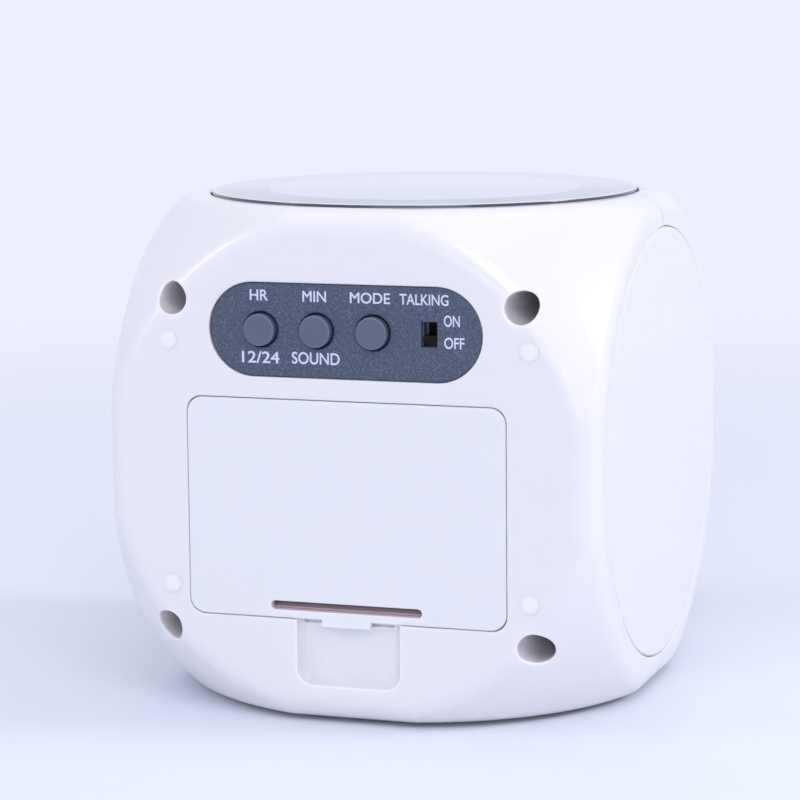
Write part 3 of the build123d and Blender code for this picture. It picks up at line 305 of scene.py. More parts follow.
shell_white = (0.81, 0.795, 0.825)
shell_shade = (0.80, 0.79, 0.82)
body_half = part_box("rear_shell")[1].x
skin_depth = 0.12 * mm             # a wall this far under the surface is down in a gap
gap_painted_light = (0.97, 0.955, 0.965)   # painted light: gap walls are painted paler so the gaps look less dark
gap_reach = 0.45 * mm
gap_depth = 3.0 * mm
door_half_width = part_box("battery_door")[1].x
door_half_height = 17.05 * mm
door_middle = 33.8 * mm
disc_low, disc_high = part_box("left_side_disc")
disc_middle = (disc_low.z + disc_high.z) / 2
disc_radius = (disc_high.z - disc_low.z) / 2
# Painted light: the screw wells are painted paler further down.
well_painted_light = (0.99, 0.93, 0.98)
well_places = ((28.1 * mm, 66.0 * mm), (29.9 * mm, 14.05 * mm))
well_radius = 2.53 * mm
well_light_depths = (34.0 * mm, 39.8 * mm)
# The notches beside the latch tongue take the same painted gap light.
keeper_half_width = 7.7 * mm
keeper_half_height = 0.85 * mm
keeper_middle = 16.4 * mm
# Painted highlight: the four pips are painted paler, fading out at their edges.
pip_across = 29.1 * mm
pip_offset = -0.4 * mm
pip_rise = 19.2 * mm
pip_fade = (0.7 * mm, 1.5 * mm)
pip_painted_highlight = (0.865, 0.85, 0.88)


def near_door_edge(x, y, z):
    """1 on the walls of the gap round the battery door."""
    edge = (abs(x) - door_half_width).top(abs(z - door_middle) - door_half_height)
    return (abs(edge) < gap_reach) * (y < body_half - skin_depth) * (y > body_half - gap_depth)


def near_disc_edge(x, y, z):
    """1 on the walls of the groove round a side disc."""
    edge = y.reach(z - disc_middle) - disc_radius
    return (abs(edge) < gap_reach) * (abs(x) < body_half - skin_depth)


def shell_paint(finish, plain):
    """Painted light down the screw wells and in narrow gaps, and a painted highlight on the four
    pips.
    """
    x, y, z = finish.axes()
    in_wells = 0.0
    for across, height in well_places:
        in_wells = ((abs(x) - across).reach(z - height) < well_radius) + in_wells
    deep = (1.0 - finish.step(y, *well_light_depths)) * (y > 0.0)
    welled = finish.tint(in_wells * deep, plain, well_painted_light)
    keeper = (abs(x) < keeper_half_width) * (abs(z - keeper_middle) < keeper_half_height)
    sunk = keeper * (y < body_half - skin_depth)
    narrow = near_door_edge(x, y, z).top(near_disc_edge(x, y, z)).top(sunk)
    from_pip = (abs(x - pip_offset) - pip_across).reach(abs(z - disc_middle) - pip_rise)
    on_pips = (1.0 - finish.step(from_pip, *pip_fade)) * (y > body_half - skin_depth)
    return finish.tint(on_pips, finish.tint(narrow, welled, gap_painted_light), pip_painted_highlight)


shell_finish = white_moulding("shell_abs", shell_white, shell_shade, shell_paint)
dress(["front_shell", "rear_shell"], shell_finish)

# ---------------------------------------------------------------- side discs and base plate
# Flat discs of the same white ABS, pressed into round pockets in the casing. The base plate has
# the sound holes of the speaker and four shallow seats for the feet.
disc_white = (0.83, 0.81, 0.82)
disc_shade = (0.82, 0.80, 0.81)


def disc_paint(finish, plain):
    """Painted light on the rim, down in the groove."""
    return finish.tint(near_disc_edge(*finish.axes()), plain, gap_painted_light)


disc_finish = white_moulding("disc_abs", disc_white, disc_shade, disc_paint)
dress(["left_side_disc", "right_side_disc", "base_plate"], disc_finish)

# ---------------------------------------------------------------- feet
# Four soft black rubber pads, each glued into its shallow seat in the base plate. Their skin is
# dusty and slightly pitted.
foot_finish = Finish("foot_rubber")
foot_finish.mottle(900.0, 5.0, [(0.018, 0.018, 0.02), (0.05, 0.05, 0.052)], (0.65, 0.85))
foot_finish.relief(foot_finish.noise(2500.0, 3.0), 0.03 * mm)
dress(["rubber_feet"], foot_finish)

# ---------------------------------------------------------------- screws
# Zinc plated steel: four long ones that hold the casing together and the small ones that hold
# the boards, the projector and the press-down top.
screw_finish = Finish("zinc_plate", metallic=1.0)
screw_finish.mottle(1200.0, 4.0, [(0.58, 0.58, 0.60), (0.42, 0.41, 0.40)], (0.29, 0.45))
screw_finish.relief(screw_finish.noise(5000.0, 2.0), 0.01 * mm)
dress(["shell_screws", "small_screws", "snooze_post_screws"], screw_finish)

# ---------------------------------------------------------------- press-down top
# A polished acrylic disc, printed on its back with a grey ring round a paler centre, that lies on
# a grey moulded carrier. Its rim is painted paler as a painted highlight, and its edge is painted
# dark as painted shade from the gap under it.
plate_low, plate_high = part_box("snooze_plate")
plate_round = 0.3 * mm
ring_edge = 25.4 * mm           # between the grey ring and the paler centre
ring_blur = 0.15 * mm
ring_grey = [(0.38, 0.42, 0.50), (0.40, 0.44, 0.525)]
centre_grey = [(0.58, 0.61, 0.70), (0.60, 0.63, 0.725)]
rim_painted_highlight = (0.70, 0.73, 0.80)
edge_painted_shade = (0.035, 0.035, 0.05)
rim_width = 0.45 * mm           # the painted highlight on the polished edge is this wide
dark_drop = 0.13 * mm           # from the top down to where the edge's painted shade starts

disc_sides = 192
bpy.ops.mesh.primitive_cylinder_add(
    vertices=disc_sides,
    radius=plate_high.x,
    depth=plate_high.z - plate_low.z,
    location=(0, 0, (plate_high.z + plate_low.z) / 2),
)
top_plate = bpy.context.object
top_plate.name = "snooze_printed_disc"


def settle(piece, body, finish):
    """A new piece gets its finish, keeps its place in its mesh, and rides on a body."""
    bpy.ops.object.select_all(action="DESELECT")
    piece.select_set(True)
    bpy.context.view_layer.objects.active = piece
    bpy.ops.object.transform_apply(location=True, rotation=True, scale=True)
    piece.data.materials.clear()
    piece.data.materials.append(finish.material)
    piece.select_set(False)
    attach(piece, body)


smooth_angle = radians(40.0)
bevel_steps = 3


def soften(piece, radius):
    """The piece's sharp edges are rounded and its faces shaded smooth."""
    bpy.ops.object.select_all(action="DESELECT")
    piece.select_set(True)
    bpy.context.view_layer.objects.active = piece
    bevel = piece.modifiers.new("soft_edges", "BEVEL")
    bevel.width = radius
    bevel.segments = bevel_steps
    bevel.limit_method = "ANGLE"
    bevel.angle_limit = smooth_angle
    bpy.ops.object.modifier_apply(modifier=bevel.name)
    bpy.ops.object.shade_smooth_by_angle(angle=smooth_angle)
    piece.select_set(False)


soften(top_plate, plate_round)
plate_finish = Finish("printed_acrylic", coat_weight=1.0, coat_roughness=0.02, roughness=0.35)
x, y, z = plate_finish.axes()
reach = x.reach(y)
grain = plate_finish.noise(1500.0, 3.0)
ring = plate_finish.tint(grain, *ring_grey)
centre = plate_finish.tint(grain, *centre_grey)
in_ring = plate_finish.step(reach, ring_edge - ring_blur, ring_edge + ring_blur)
printed = plate_finish.tint(in_ring, centre, ring)
rimmed = plate_finish.tint(reach > plate_high.x - rim_width, printed, rim_painted_highlight)
below = z < plate_high.z - dark_drop
plate_finish.feed("Base Color", plate_finish.tint(below, rimmed, edge_painted_shade))
settle(top_plate, "snooze_top", plate_finish)
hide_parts("snooze_plate")

carrier_finish = Finish("grey_carrier_abs")
carrier_finish.mottle(1500.0, 3.0, [(0.10, 0.11, 0.13), (0.13, 0.14, 0.16)], (0.35, 0.5))
dress(["snooze_carrier"], carrier_finish)

# ---------------------------------------------------------------- control panel
# A slate blue inlay with a fine metallic sparkle in its paint, let into a recess of the back and
# printed with the names of the keys in pale letters.
panel_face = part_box("control_panel")[1].y
panel_dark = (0.040, 0.054, 0.090)
panel_light = (0.072, 0.096, 0.152)
sparkle_colour = (0.13, 0.17, 0.26)

panel_finish = Finish("panel_paint", metallic=0.1)
speckle = panel_finish.noise(3600.0, 3.0)
paint = panel_finish.tint(panel_finish.step(speckle, 0.36, 0.64), panel_dark, panel_light)
flakes = panel_finish.step(panel_finish.noise(4800.0, 1.0), 0.60, 0.70)
panel_finish.feed("Base Color", panel_finish.tint(flakes, paint, sparkle_colour))
panel_finish.feed("Roughness", panel_finish.spread(speckle, 0.42, 0.55))
panel_finish.relief(speckle, 0.02 * mm)
dress(["control_panel"], panel_finish)

# Each caption: its words, its left and right end as seen from behind, and its foot and head, in
# millimetres.
captions = [
    ("HR", 15.1, 12.1, 66.05, 67.73),
    ("MIN", 6.49, 2.65, 66.05, 67.73),
    ("MODE", -1.18, -7.61, 66.05, 67.73),
    ("TALKING", -9.13, -16.87, 66.05, 67.73),
    ("ON", -16.13, -18.63, 62.91, 64.64),
    ("OFF", -16.16, -19.35, 59.56, 61.30),
    ("12/24", 16.55, 10.38, 56.39, 58.22),
    ("SOUND", 8.35, 0.57, 56.46, 58.32),
]
caption_raise = 0.012 * mm
letter_depth = 0.01             # these three are in the letters' own size
letter_weld = 0.0001
stroke_swell = 0.014            # on each side of a stroke
letter_steps = 6                # straight bits in each curve of a letter
caption_finish = Finish("caption_ink")
caption_finish.mottle(5000.0, 3.0, [(0.68, 0.71, 0.86), (0.56, 0.60, 0.76)], (0.45, 0.6))

words = []
for text, left, right, foot, head in captions:
    bpy.ops.object.text_add()
    word = bpy.context.object
    word.data.body = text
    word.data.extrude = letter_depth
    word.data.resolution_u = letter_steps
    bpy.ops.object.convert(target="MESH")
    bpy.ops.object.mode_set(mode="EDIT")
    bpy.ops.mesh.select_all(action="SELECT")
    bpy.ops.mesh.remove_doubles(threshold=letter_weld)
    bpy.ops.transform.shrink_fatten(value=stroke_swell, use_even_offset=True)
    bpy.ops.object.mode_set(mode="OBJECT")
    low = Vector(min(point.co[axis] for point in word.data.vertices) for axis in range(3))
    high = Vector(max(point.co[axis] for point in word.data.vertices) for axis in range(3))
    wanted = ((left - right) * mm, (head - foot) * mm, caption_raise)
    scale = Vector(goal / (end - start) for goal, start, end in zip(wanted, low, high))
    fit = Matrix.Diagonal(scale).to_4x4() @ Matrix.Translation(-low)
    turn = Matrix.Rotation(pi, 4, "Z") @ Matrix.Rotation(pi / 2, 4, "X")
    word.matrix_world = Matrix.Translation((left * mm, panel_face, foot * mm)) @ turn @ fit
    words.append(word)
bpy.ops.object.select_all(action="DESELECT")
for word in words:
    word.select_set(True)
bpy.context.view_layer.objects.active = words[0]
bpy.ops.object.transform_apply(location=True, rotation=True, scale=True)
bpy.ops.object.join()
print_on_panel = bpy.context.object
print_on_panel.name = "panel_captions"
settle(print_on_panel, "clock_body", caption_finish)

# ---------------------------------------------------------------- push buttons
# Three keys moulded in the panel's slate blue, a shade lighter and without its sparkle. Their
# rims are painted a little brighter as a painted highlight.
button_slate = [(0.082, 0.106, 0.154), (0.092, 0.117, 0.168)]
button_rim_highlight = (0.125, 0.155, 0.215)
button_rim = (2.15 * mm, 2.4 * mm)
button_crown = 0.3 * mm


def button_finish(name):
    """The finish of one key, with a painted highlight round its own rim."""
    low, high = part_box(name)
    finish = Finish(f"{name}_moulding")
    x, y, z = finish.axes()
    from_middle = (x - (low.x + high.x) / 2).reach(z - (low.z + high.z) / 2)
    rim = finish.step(from_middle, *button_rim) * (y > high.y - button_crown)
    grain = finish.noise(2600.0, 4.0)
    face = finish.tint(grain, *button_slate)
    finish.feed("Base Color", finish.tint(rim, face, button_rim_highlight))
    finish.feed("Roughness", finish.spread(grain, 0.38, 0.52))
    finish.relief(grain, 0.012 * mm)
    return finish


for name in ("hr_button", "min_button", "mode_button"):
    dress([name], button_finish(name))

# ---------------------------------------------------------------- key switches
# Tact switches soldered to the key board and to the snooze board, black below with a bright
# steel cover, and a slide switch in a folded steel can with a black knob.
black_finish = Finish("black_moulding")
black_tones = [(0.012, 0.012, 0.013), (0.024, 0.024, 0.026)]
black_finish.mottle(2200.0, 4.0, black_tones, (0.3, 0.5), 0.008 * mm)
plungers = [f"{key}_switch_plunger" for key in ("hr", "min", "mode", "snooze")]
dress(plungers, black_finish)

knob_finish = Finish("polished_knob", specular_ior_level=0.12)
knob_finish.mottle(1500.0, 3.0, [(0.006, 0.005, 0.006), (0.012, 0.010, 0.012)], (0.3, 0.4))
dress(["talking_switch_knob"], knob_finish)


def tact_finish(name, axis, cover_start):
    """Black housing with a steel cover from cover_start up along axis."""
    finish = Finish(name)
    height = finish.axes()[axis]
    cover = height > cover_start
    brushed = finish.noise(2500.0, 3.0, (1.0, 6.0, 6.0))
    steel = finish.tint(brushed, (0.60, 0.60, 0.61), (0.45, 0.45, 0.46))
    finish.feed("Base Color", finish.tint(cover, (0.015, 0.015, 0.017), steel))
    finish.feed("Metallic", cover)
    finish.feed("Roughness", finish.spread(brushed, 0.3, 0.45))
    return finish


cover_depth = 0.7 * mm
key_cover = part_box("key_switch_bodies")[1].y - cover_depth
snooze_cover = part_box("snooze_switch_body")[1].z - cover_depth
dress(["key_switch_bodies"], tact_finish("key_tact_switch", 1, key_cover))
dress(["snooze_switch_body"], tact_finish("snooze_tact_switch", 2, snooze_cover))

tin_finish = Finish("tinned_steel", metallic=1.0)
tin_tones = [(0.66, 0.66, 0.67), (0.52, 0.52, 0.52)]
tin_finish.mottle(1500.0, 4.0, tin_tones, (0.29, 0.42), stretch=(8.0, 1.0, 1.0))
dress(["talking_switch_case", "crystal"], tin_finish)

# ---------------------------------------------------------------- battery door
# A flat plate of the casing's white ABS, a touch cooler because it comes from another mould, with
# two hooks at its top and a flex slot over its latch tongue. Behind the slot the plate folds back
# as a thin spring, which lets the tongue give.
slot_middle = 18.675 * mm
slot_half_height = 1.3 * mm
slot_half_length = 13.0 * mm
# Painted light: the slot's walls are painted pale pink, as if lit through the plastic.
slot_painted_light = (0.84, 0.72, 0.76)


def door_paint(finish, plain):
    """Painted light in the gap round the door and in its slot."""
    x, y, z = finish.axes()
    in_slot = (abs(z - slot_middle) < slot_half_height) * (abs(x) < slot_half_length)
    edged = finish.tint(near_door_edge(x, y, z), plain, gap_painted_light)
    return finish.tint(in_slot * (y < body_half - skin_depth), edged, slot_painted_light)


door_white = (0.795, 0.80, 0.83)
door_shade = (0.785, 0.79, 0.82)
door_finish = white_moulding("door_abs", door_white, door_shade, door_paint)
dress(["battery_door"], door_finish)

fold_radius = 0.75 * mm
fold_bottom = 18.02 * mm
fold_thickness = 0.25 * mm
fold_rise = 0.7 * mm
fold_length = 24.9 * mm
fold_sides = 48
fold_slack = 0.01 * mm          # how far a cut edge may lie off the cut
fold_shade = (18.05 * mm, 18.85 * mm)
door_inner = 38.2 * mm
fold_middle = Vector((0.0, door_inner, fold_bottom + fold_radius))

bpy.ops.mesh.primitive_cylinder_add(
    vertices=fold_sides,
    radius=fold_radius,
    depth=fold_length,
    end_fill_type="NOTHING",
    location=fold_middle,
    rotation=(0, pi / 2, 0),
)
latch_fold = bpy.context.object
latch_fold.name = "latch_fold"
bpy.ops.object.transform_apply(location=True, rotation=True, scale=True)
bpy.ops.object.mode_set(mode="EDIT")
for normal in ((0, 1, 0), (0, 0, 1)):
    bpy.ops.mesh.select_all(action="SELECT")
    bpy.ops.mesh.bisect(plane_co=fold_middle, plane_no=normal, clear_outer=True)
bpy.ops.mesh.select_mode(type="EDGE")
bpy.ops.mesh.select_all(action="DESELECT")
bpy.ops.object.mode_set(mode="OBJECT")
for edge in latch_fold.data.edges:
    ends = [latch_fold.data.vertices[index].co for index in edge.vertices]
    edge.select = all(end.z > fold_middle.z - fold_slack for end in ends)
bpy.ops.object.mode_set(mode="EDIT")
bpy.ops.mesh.extrude_region_move(TRANSFORM_OT_translate={"value": (0, 0, fold_rise)})
bpy.ops.mesh.select_all(action="SELECT")
bpy.ops.mesh.normals_make_consistent(inside=False)
bpy.ops.object.mode_set(mode="OBJECT")
wall = latch_fold.modifiers.new("wall", "SOLIDIFY")
wall.thickness = fold_thickness
wall.offset = 1.0
bpy.ops.object.modifier_apply(modifier=wall.name)
bpy.ops.object.shade_smooth_by_angle(angle=smooth_angle)
# Painted light low on the fold, pale pink, and painted shade up at its top under the slot's edge.
fold_finish = Finish("latch_abs", roughness=0.4)
height = fold_finish.axes()[2]
clouds = fold_finish.noise(300.0, 3.0)
pale = fold_finish.tint(clouds, (0.66, 0.55, 0.60), (0.62, 0.51, 0.56))
up_the_fold = fold_finish.step(height, *fold_shade)
fold_finish.feed("Base Color", fold_finish.tint(up_the_fold, pale, (0.095, 0.060, 0.070)))
settle(latch_fold, "battery_cover", fold_finish)

# ---------------------------------------------------------------- cells
# Three AAA cells in plain bronze sleeves, shrunk over the can, with a dark band at the end with
# the nub. The crimped ends are bare metal.
cell_names = ["battery_cell_top", "battery_cell_middle", "battery_cell_bottom"]
sleeve_bronze = [(0.36, 0.25, 0.20), (0.32, 0.22, 0.18)]
sleeve_band = (0.045, 0.040, 0.045)
sleeve_line = (0.62, 0.52, 0.42)
crimp_length = 1.3 * mm         # bare metal at the end with the nub
flat_crimp_length = 0.6 * mm    # and at the flat end
band_length = 11.0 * mm
band_line = 0.6 * mm
cell_steel = (0.62, 0.61, 0.58)


def cell_finish(name, nub_side):
    """A cell's sleeve and bare ends; nub_side is 1 where the nub points along +X."""
    low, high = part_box(name)
    length = high.x - low.x
    finish = Finish(f"{name}_sleeve", coat_weight=0.3, coat_roughness=0.1)
    nub_end = high.x if nub_side > 0 else low.x
    from_nub = abs(finish.axes()[0] - nub_end)
    grain = finish.noise(900.0, 3.0, (0.15, 1.0, 1.0))
    body = finish.tint(grain, *sleeve_bronze)
    lined = finish.tint(from_nub < crimp_length + band_length + band_line, body, sleeve_line)
    banded = finish.tint(from_nub < crimp_length + band_length, lined, sleeve_band)
    ends = (from_nub < crimp_length) + (from_nub > length - flat_crimp_length)
    finish.feed("Base Color", finish.tint(ends, banded, cell_steel))
    finish.feed("Metallic", finish.spread(ends, 0.35, 1.0))
    finish.feed("Roughness", finish.spread(grain, 0.28, 0.38))
    return finish


for name, nub_side in zip(cell_names, (1, -1, 1)):
    dress([name], cell_finish(name, nub_side))

# ---------------------------------------------------------------- battery contacts
# Springs of round wire and flat plates of spring steel, all nickel plated and held in slits of
# the bay's ends. Two tails pass the bay's floor to the leads.
nickel_finish = Finish("nickel_plate", metallic=1.0)
nickel_tones = [(0.70, 0.68, 0.63), (0.60, 0.58, 0.53)]
nickel_finish.mottle(700.0, 4.0, nickel_tones, (0.12, 0.26), 0.01 * mm)
dress(["battery_terminals", "battery_jumpers", "battery_springs"], nickel_finish)

# ---------------------------------------------------------------- display window
# A thick clear acrylic disc let into the front. Behind it lies a dark blue printed mask with a
# thin silver line round the opening for the display.
lens_low, lens_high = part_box("front_lens")
lens_middle = (lens_low.z + lens_high.z) / 2
lens_air = 0.06 * mm
lens_depth = lens_high.y - lens_low.y - lens_air
lens_round = 0.35 * mm

bpy.ops.mesh.primitive_cylinder_add(
    vertices=disc_sides,
    radius=lens_high.x,
    depth=lens_depth,
    location=(0, lens_low.y + lens_depth / 2, lens_middle),
    rotation=(pi / 2, 0, 0),
)
window = bpy.context.object
window.name = "display_window"
soften(window, lens_round)
acrylic_finish = Finish("clear_acrylic", roughness=0.02, transmission_weight=1.0, ior=1.49)
acrylic_finish.feed("Base Color", (0.93, 0.95, 0.97))
settle(window, "clock_body", acrylic_finish)
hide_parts("front_lens")

view_half_width = 22.5 * mm
view_half_height = 13.5 * mm
line_start = 0.9 * mm           # from the opening to the silver line
line_width = 0.35 * mm
mask_finish = Finish("mask_print", specular_ior_level=0.25)
x, y, z = mask_finish.axes()
beside = (abs(x) - view_half_width).top(0.0)
above = (abs(z - lens_middle) - view_half_height).top(0.0)
away = beside.reach(above)
silver = (away > line_start) * (away < line_start + line_width)
grain = mask_finish.noise(900.0, 3.0)
navy = mask_finish.tint(grain, (0.009, 0.012, 0.030), (0.012, 0.016, 0.036))
mask_finish.feed("Base Color", mask_finish.tint(silver, navy, (0.52, 0.54, 0.58)))
mask_finish.feed("Metallic", silver)
mask_finish.feed("Roughness", mask_finish.spread(grain, 0.36, 0.40))
dress(["display_mask"], mask_finish)

# ---------------------------------------------------------------- display glass
# A reflective liquid crystal cell, grey green, with its figures switched on: the hour large, and
# the date and the temperature in small figures under it.
glass_low, glass_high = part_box("lcd_glass")
cell_pitch = 0.4 * mm
cell_line = 0.02 * mm
line_strength = 0.25
lcd_finish = Finish("lcd_cell", coat_weight=0.6, coat_roughness=0.08)
x, y, z = lcd_finish.axes()
# Painted light: the cell is painted lighter towards its top.
level = lcd_finish.step(z, glass_low.z, glass_high.z)
cells = (x % cell_pitch < cell_line) + (z % cell_pitch < cell_line)
glass_painted_light = lcd_finish.tint(level, (0.30, 0.34, 0.30), (0.38, 0.42, 0.37))
lcd_finish.feed("Base Color", lcd_finish.tint(cells * line_strength, glass_painted_light, (0.24, 0.27, 0.24)))
haze = lcd_finish.noise(500.0, 3.0)
lcd_finish.feed("Roughness", lcd_finish.spread(haze, 0.29, 0.38))
dress(["lcd_glass"], lcd_finish)

segment_finish = Finish("lcd_figures", roughness=0.4)
haze = segment_finish.noise(800.0, 2.0)
figure_dark = segment_finish.tint(haze, (0.020, 0.024, 0.026), (0.032, 0.038, 0.038))
segment_finish.feed("Base Color", figure_dark)
figure_raise = 0.02 * mm
figure_slimness = 0.52          # width to height
bar_gap = 0.6                   # between two bars, in their thickness
segments = []


def segment(x, z, length, thick, upright):
    """One bar of a figure: a six-sided sliver on the glass with pointed ends."""
    bpy.ops.mesh.primitive_circle_add(vertices=6, radius=thick / 2, fill_type="NGON")
    bar = bpy.context.object
    bpy.ops.object.mode_set(mode="EDIT")
    bpy.ops.mesh.select_mode(type="VERT")
    bpy.ops.mesh.select_all(action="DESELECT")
    bpy.ops.object.mode_set(mode="OBJECT")
    for point in bar.data.vertices:
        point.select = point.co.y > 0.1 * thick
    bpy.ops.object.mode_set(mode="EDIT")
    bpy.ops.transform.translate(value=(0, length - thick, 0))
    bpy.ops.object.mode_set(mode="OBJECT")
    turn = Matrix.Rotation(pi / 2, 4, "X")
    if not upright:
        turn = turn @ Matrix.Rotation(-pi / 2, 4, "Z")
    shift = Matrix.Translation((0, -(length - thick) / 2, 0))
    bar.matrix_world = Matrix.Translation((x, glass_low.y, z)) @ turn @ shift
    segments.append(bar)


# The bars of each sign that the display shows, by the letters that figure() gives them.
lit_bars = {
    "0": "abcdef",
    "1": "bc",
    "2": "abged",
    "4": "fgbc",
    "5": "afgcd",
    "8": "abcdefg",
    "-": "g",
    "C": "adef",
}


def figure(sign, x, z, height, thick):
    """A seven-bar figure whose middle is at x, z."""
    half = height / 2
    width = height * figure_slimness
    across = width - bar_gap * thick
    down = half - bar_gap * thick
    bars = {
        "a": (0, half, across, False),
        "g": (0, 0, across, False),
        "d": (0, -half, across, False),
        "f": (-width / 2, half / 2, down, True),
        "b": (width / 2, half / 2, down, True),
        "e": (-width / 2, -half / 2, down, True),
        "c": (width / 2, -half / 2, down, True),
    }
    for bar in lit_bars[sign]:
        aside, rise, length, upright = bars[bar]
        segment(x + aside, z + rise, length, thick, upright)


# Each row: its figures, their places across, its rise over the middle, its height and the bars'
# thickness, in millimetres.
display_rows = [
    ("1208", (-14.2, -5.6, 5.6, 14.2), 4.2, 11.0, 1.5),
    ("12-24", (-17.5, -14.2, -10.9, -7.6, -4.3), -9.0, 3.8, 0.5),
    ("25C", (9.4, 12.7, 17.0), -9.0, 3.8, 0.5),
]
for signs, places, rise, height, thick in display_rows:
    for sign, place in zip(signs, places):
        figure(sign, place * mm, lens_middle + rise * mm, height * mm, thick * mm)
colon_rises = (1.6 * mm, 6.8 * mm)
colon_length = 1.5 * mm
colon_thick = 1.4 * mm
for rise in colon_rises:
    segment(0, lens_middle + rise, colon_length, colon_thick, True)
bpy.ops.object.select_all(action="DESELECT")
for bar in segments:
    bar.select_set(True)
bpy.context.view_layer.objects.active = segments[0]
bpy.ops.object.transform_apply(location=True, rotation=True, scale=True)
bpy.ops.object.join()
figures = bpy.context.object
figures.name = "display_figures"
skin = figures.modifiers.new("print_thickness", "SOLIDIFY")
skin.thickness = figure_raise
skin.offset = 1.0
bpy.ops.object.modifier_apply(modifier=skin.name)
settle(figures, "clock_body", segment_finish)

# ---------------------------------------------------------------- display module
# The cell sits in a black frame against two rubber strips of many conducting layers, with an
# acrylic light guide behind it that a small white lamp feeds from the side.
frame_finish = Finish("frame_moulding")
frame_tones = [(0.016, 0.016, 0.017), (0.030, 0.030, 0.032)]
frame_finish.mottle(1400.0, 4.0, frame_tones, (0.45, 0.62), 0.012 * mm)
dress(["lcd_frame", "projector_barrel"], frame_finish)

layer_pitch = 0.5 * mm
strip_finish = Finish("layered_rubber", roughness=0.6)
carbon = (strip_finish.axes()[0] % layer_pitch) < layer_pitch / 2
layers = strip_finish.tint(carbon, (0.34, 0.20, 0.19), (0.025, 0.025, 0.028))
strip_finish.feed("Base Color", layers)
strip_finish.relief(carbon, 0.02 * mm)
dress(["zebra_strips"], strip_finish)

dot_pitch = 1.5 * mm
guide_finish = Finish("frosted_guide", transmission_weight=0.7, ior=1.49)
guide_finish.feed("Base Color", (0.86, 0.90, 0.93))
x, y, z = guide_finish.axes()
dots = ((x % dot_pitch) - dot_pitch / 2).reach((z % dot_pitch) - dot_pitch / 2) < dot_pitch / 4
guide_finish.feed("Roughness", guide_finish.spread(dots, 0.3, 0.6))
guide_finish.relief(dots, 0.05 * mm)
dress(["light_guide"], guide_finish)

lamp_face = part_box("backlight_led")[1].x
phosphor_skin = 0.05 * mm
phosphor_half = 1.2 * mm
package_finish = Finish("lamp_package", roughness=0.35)
x, y, z = package_finish.axes()
phosphor = (x > lamp_face - phosphor_skin) * (abs(z - lens_middle) < phosphor_half)
case_and_phosphor = package_finish.tint(phosphor, (0.82, 0.82, 0.80), (0.80, 0.66, 0.16))
package_finish.feed("Base Color", case_and_phosphor)
dress(["backlight_led"], package_finish)

# ---------------------------------------------------------------- circuit boards
# Glass fibre boards under green lacquer: tracks show as paler, slightly raised lines, and bare
# tinned pads stand in rows. The sawn edges show the straw-coloured core.
track_pitch = 1.4 * mm
track_width = 0.63 * mm
pad_spacing = 2.54 * mm
pad_radius = 0.5 * mm
lacquer_skin = 0.08 * mm
copper_raise = 0.035 * mm


def board_finish(name, node, across, along, through):
    """The finish of one board; the axes are numbered, and through is the one square to it."""
    low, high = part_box(node)
    finish = Finish(name, coat_weight=0.5, coat_roughness=0.15)
    axes = finish.axes()
    u, v, depth = axes[across], axes[along], axes[through]
    share = finish.noise(70.0, 0.0) > 0.5
    up = ((u % track_pitch) < track_width) * share
    sideways = ((v % track_pitch) < track_width) * (1.0 - share)
    copper = (up + sideways) * (finish.noise(170.0, 0.0) > 0.42)
    weave = finish.noise(4000.0, 2.0)
    lacquer = finish.tint(weave, (0.012, 0.12, 0.05), (0.018, 0.145, 0.062))
    tracks = finish.tint(copper, lacquer, (0.035, 0.22, 0.085))
    half = pad_spacing / 2
    dot = ((u % pad_spacing) - half).reach((v % pad_spacing) - half) < pad_radius
    pads = dot * (finish.noise(110.0, 0.0) > 0.56)
    tinned = finish.tint(pads, tracks, (0.60, 0.60, 0.58))
    inside = (depth > low[through] + lacquer_skin) * (depth < high[through] - lacquer_skin)
    finish.feed("Base Color", finish.tint(inside, tinned, (0.38, 0.36, 0.20)))
    finish.feed("Metallic", pads * (1.0 - inside))
    finish.feed("Roughness", finish.spread(weave, 0.28, 0.45))
    finish.relief(copper.top(pads), copper_raise)
    return finish


dress(["main_board"], board_finish("main_board_lacquer", "main_board", 0, 2, 1))
dress(["key_board"], board_finish("key_board_lacquer", "key_board", 0, 2, 1))
dress(["snooze_board"], board_finish("snooze_board_lacquer", "snooze_board", 0, 1, 2))
dress(["led_board"], board_finish("led_board_lacquer", "led_board", 1, 2, 0))

# ---------------------------------------------------------------- parts on the main board
# The clock chip under its drop of black epoxy, three electrolytic capacitors in printed sleeves,
# the crystal in its tinned can, and the temperature sensor on two legs.
epoxy_finish = Finish("epoxy_drop", coat_weight=0.4)
epoxy_tones = [(0.008, 0.008, 0.009), (0.016, 0.016, 0.018)]
epoxy_finish.mottle(260.0, 2.0, epoxy_tones, (0.12, 0.26), 0.15 * mm)
dress(["clock_chip"], epoxy_finish)

leg_length = 3.8 * mm
leg_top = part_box("main_board")[1].y + leg_length
sensor_finish = Finish("sensor_bead", coat_weight=0.3)
bare = sensor_finish.axes()[1] < leg_top
grain = sensor_finish.noise(3000.0, 3.0)
bead = sensor_finish.tint(grain, (0.012, 0.012, 0.014), (0.03, 0.03, 0.032))
sensor_finish.feed("Base Color", sensor_finish.tint(bare, bead, (0.62, 0.61, 0.58)))
sensor_finish.feed("Metallic", bare)
sensor_finish.feed("Roughness", sensor_finish.spread(grain, 0.29, 0.4))
dress(["temperature_sensor"], sensor_finish)

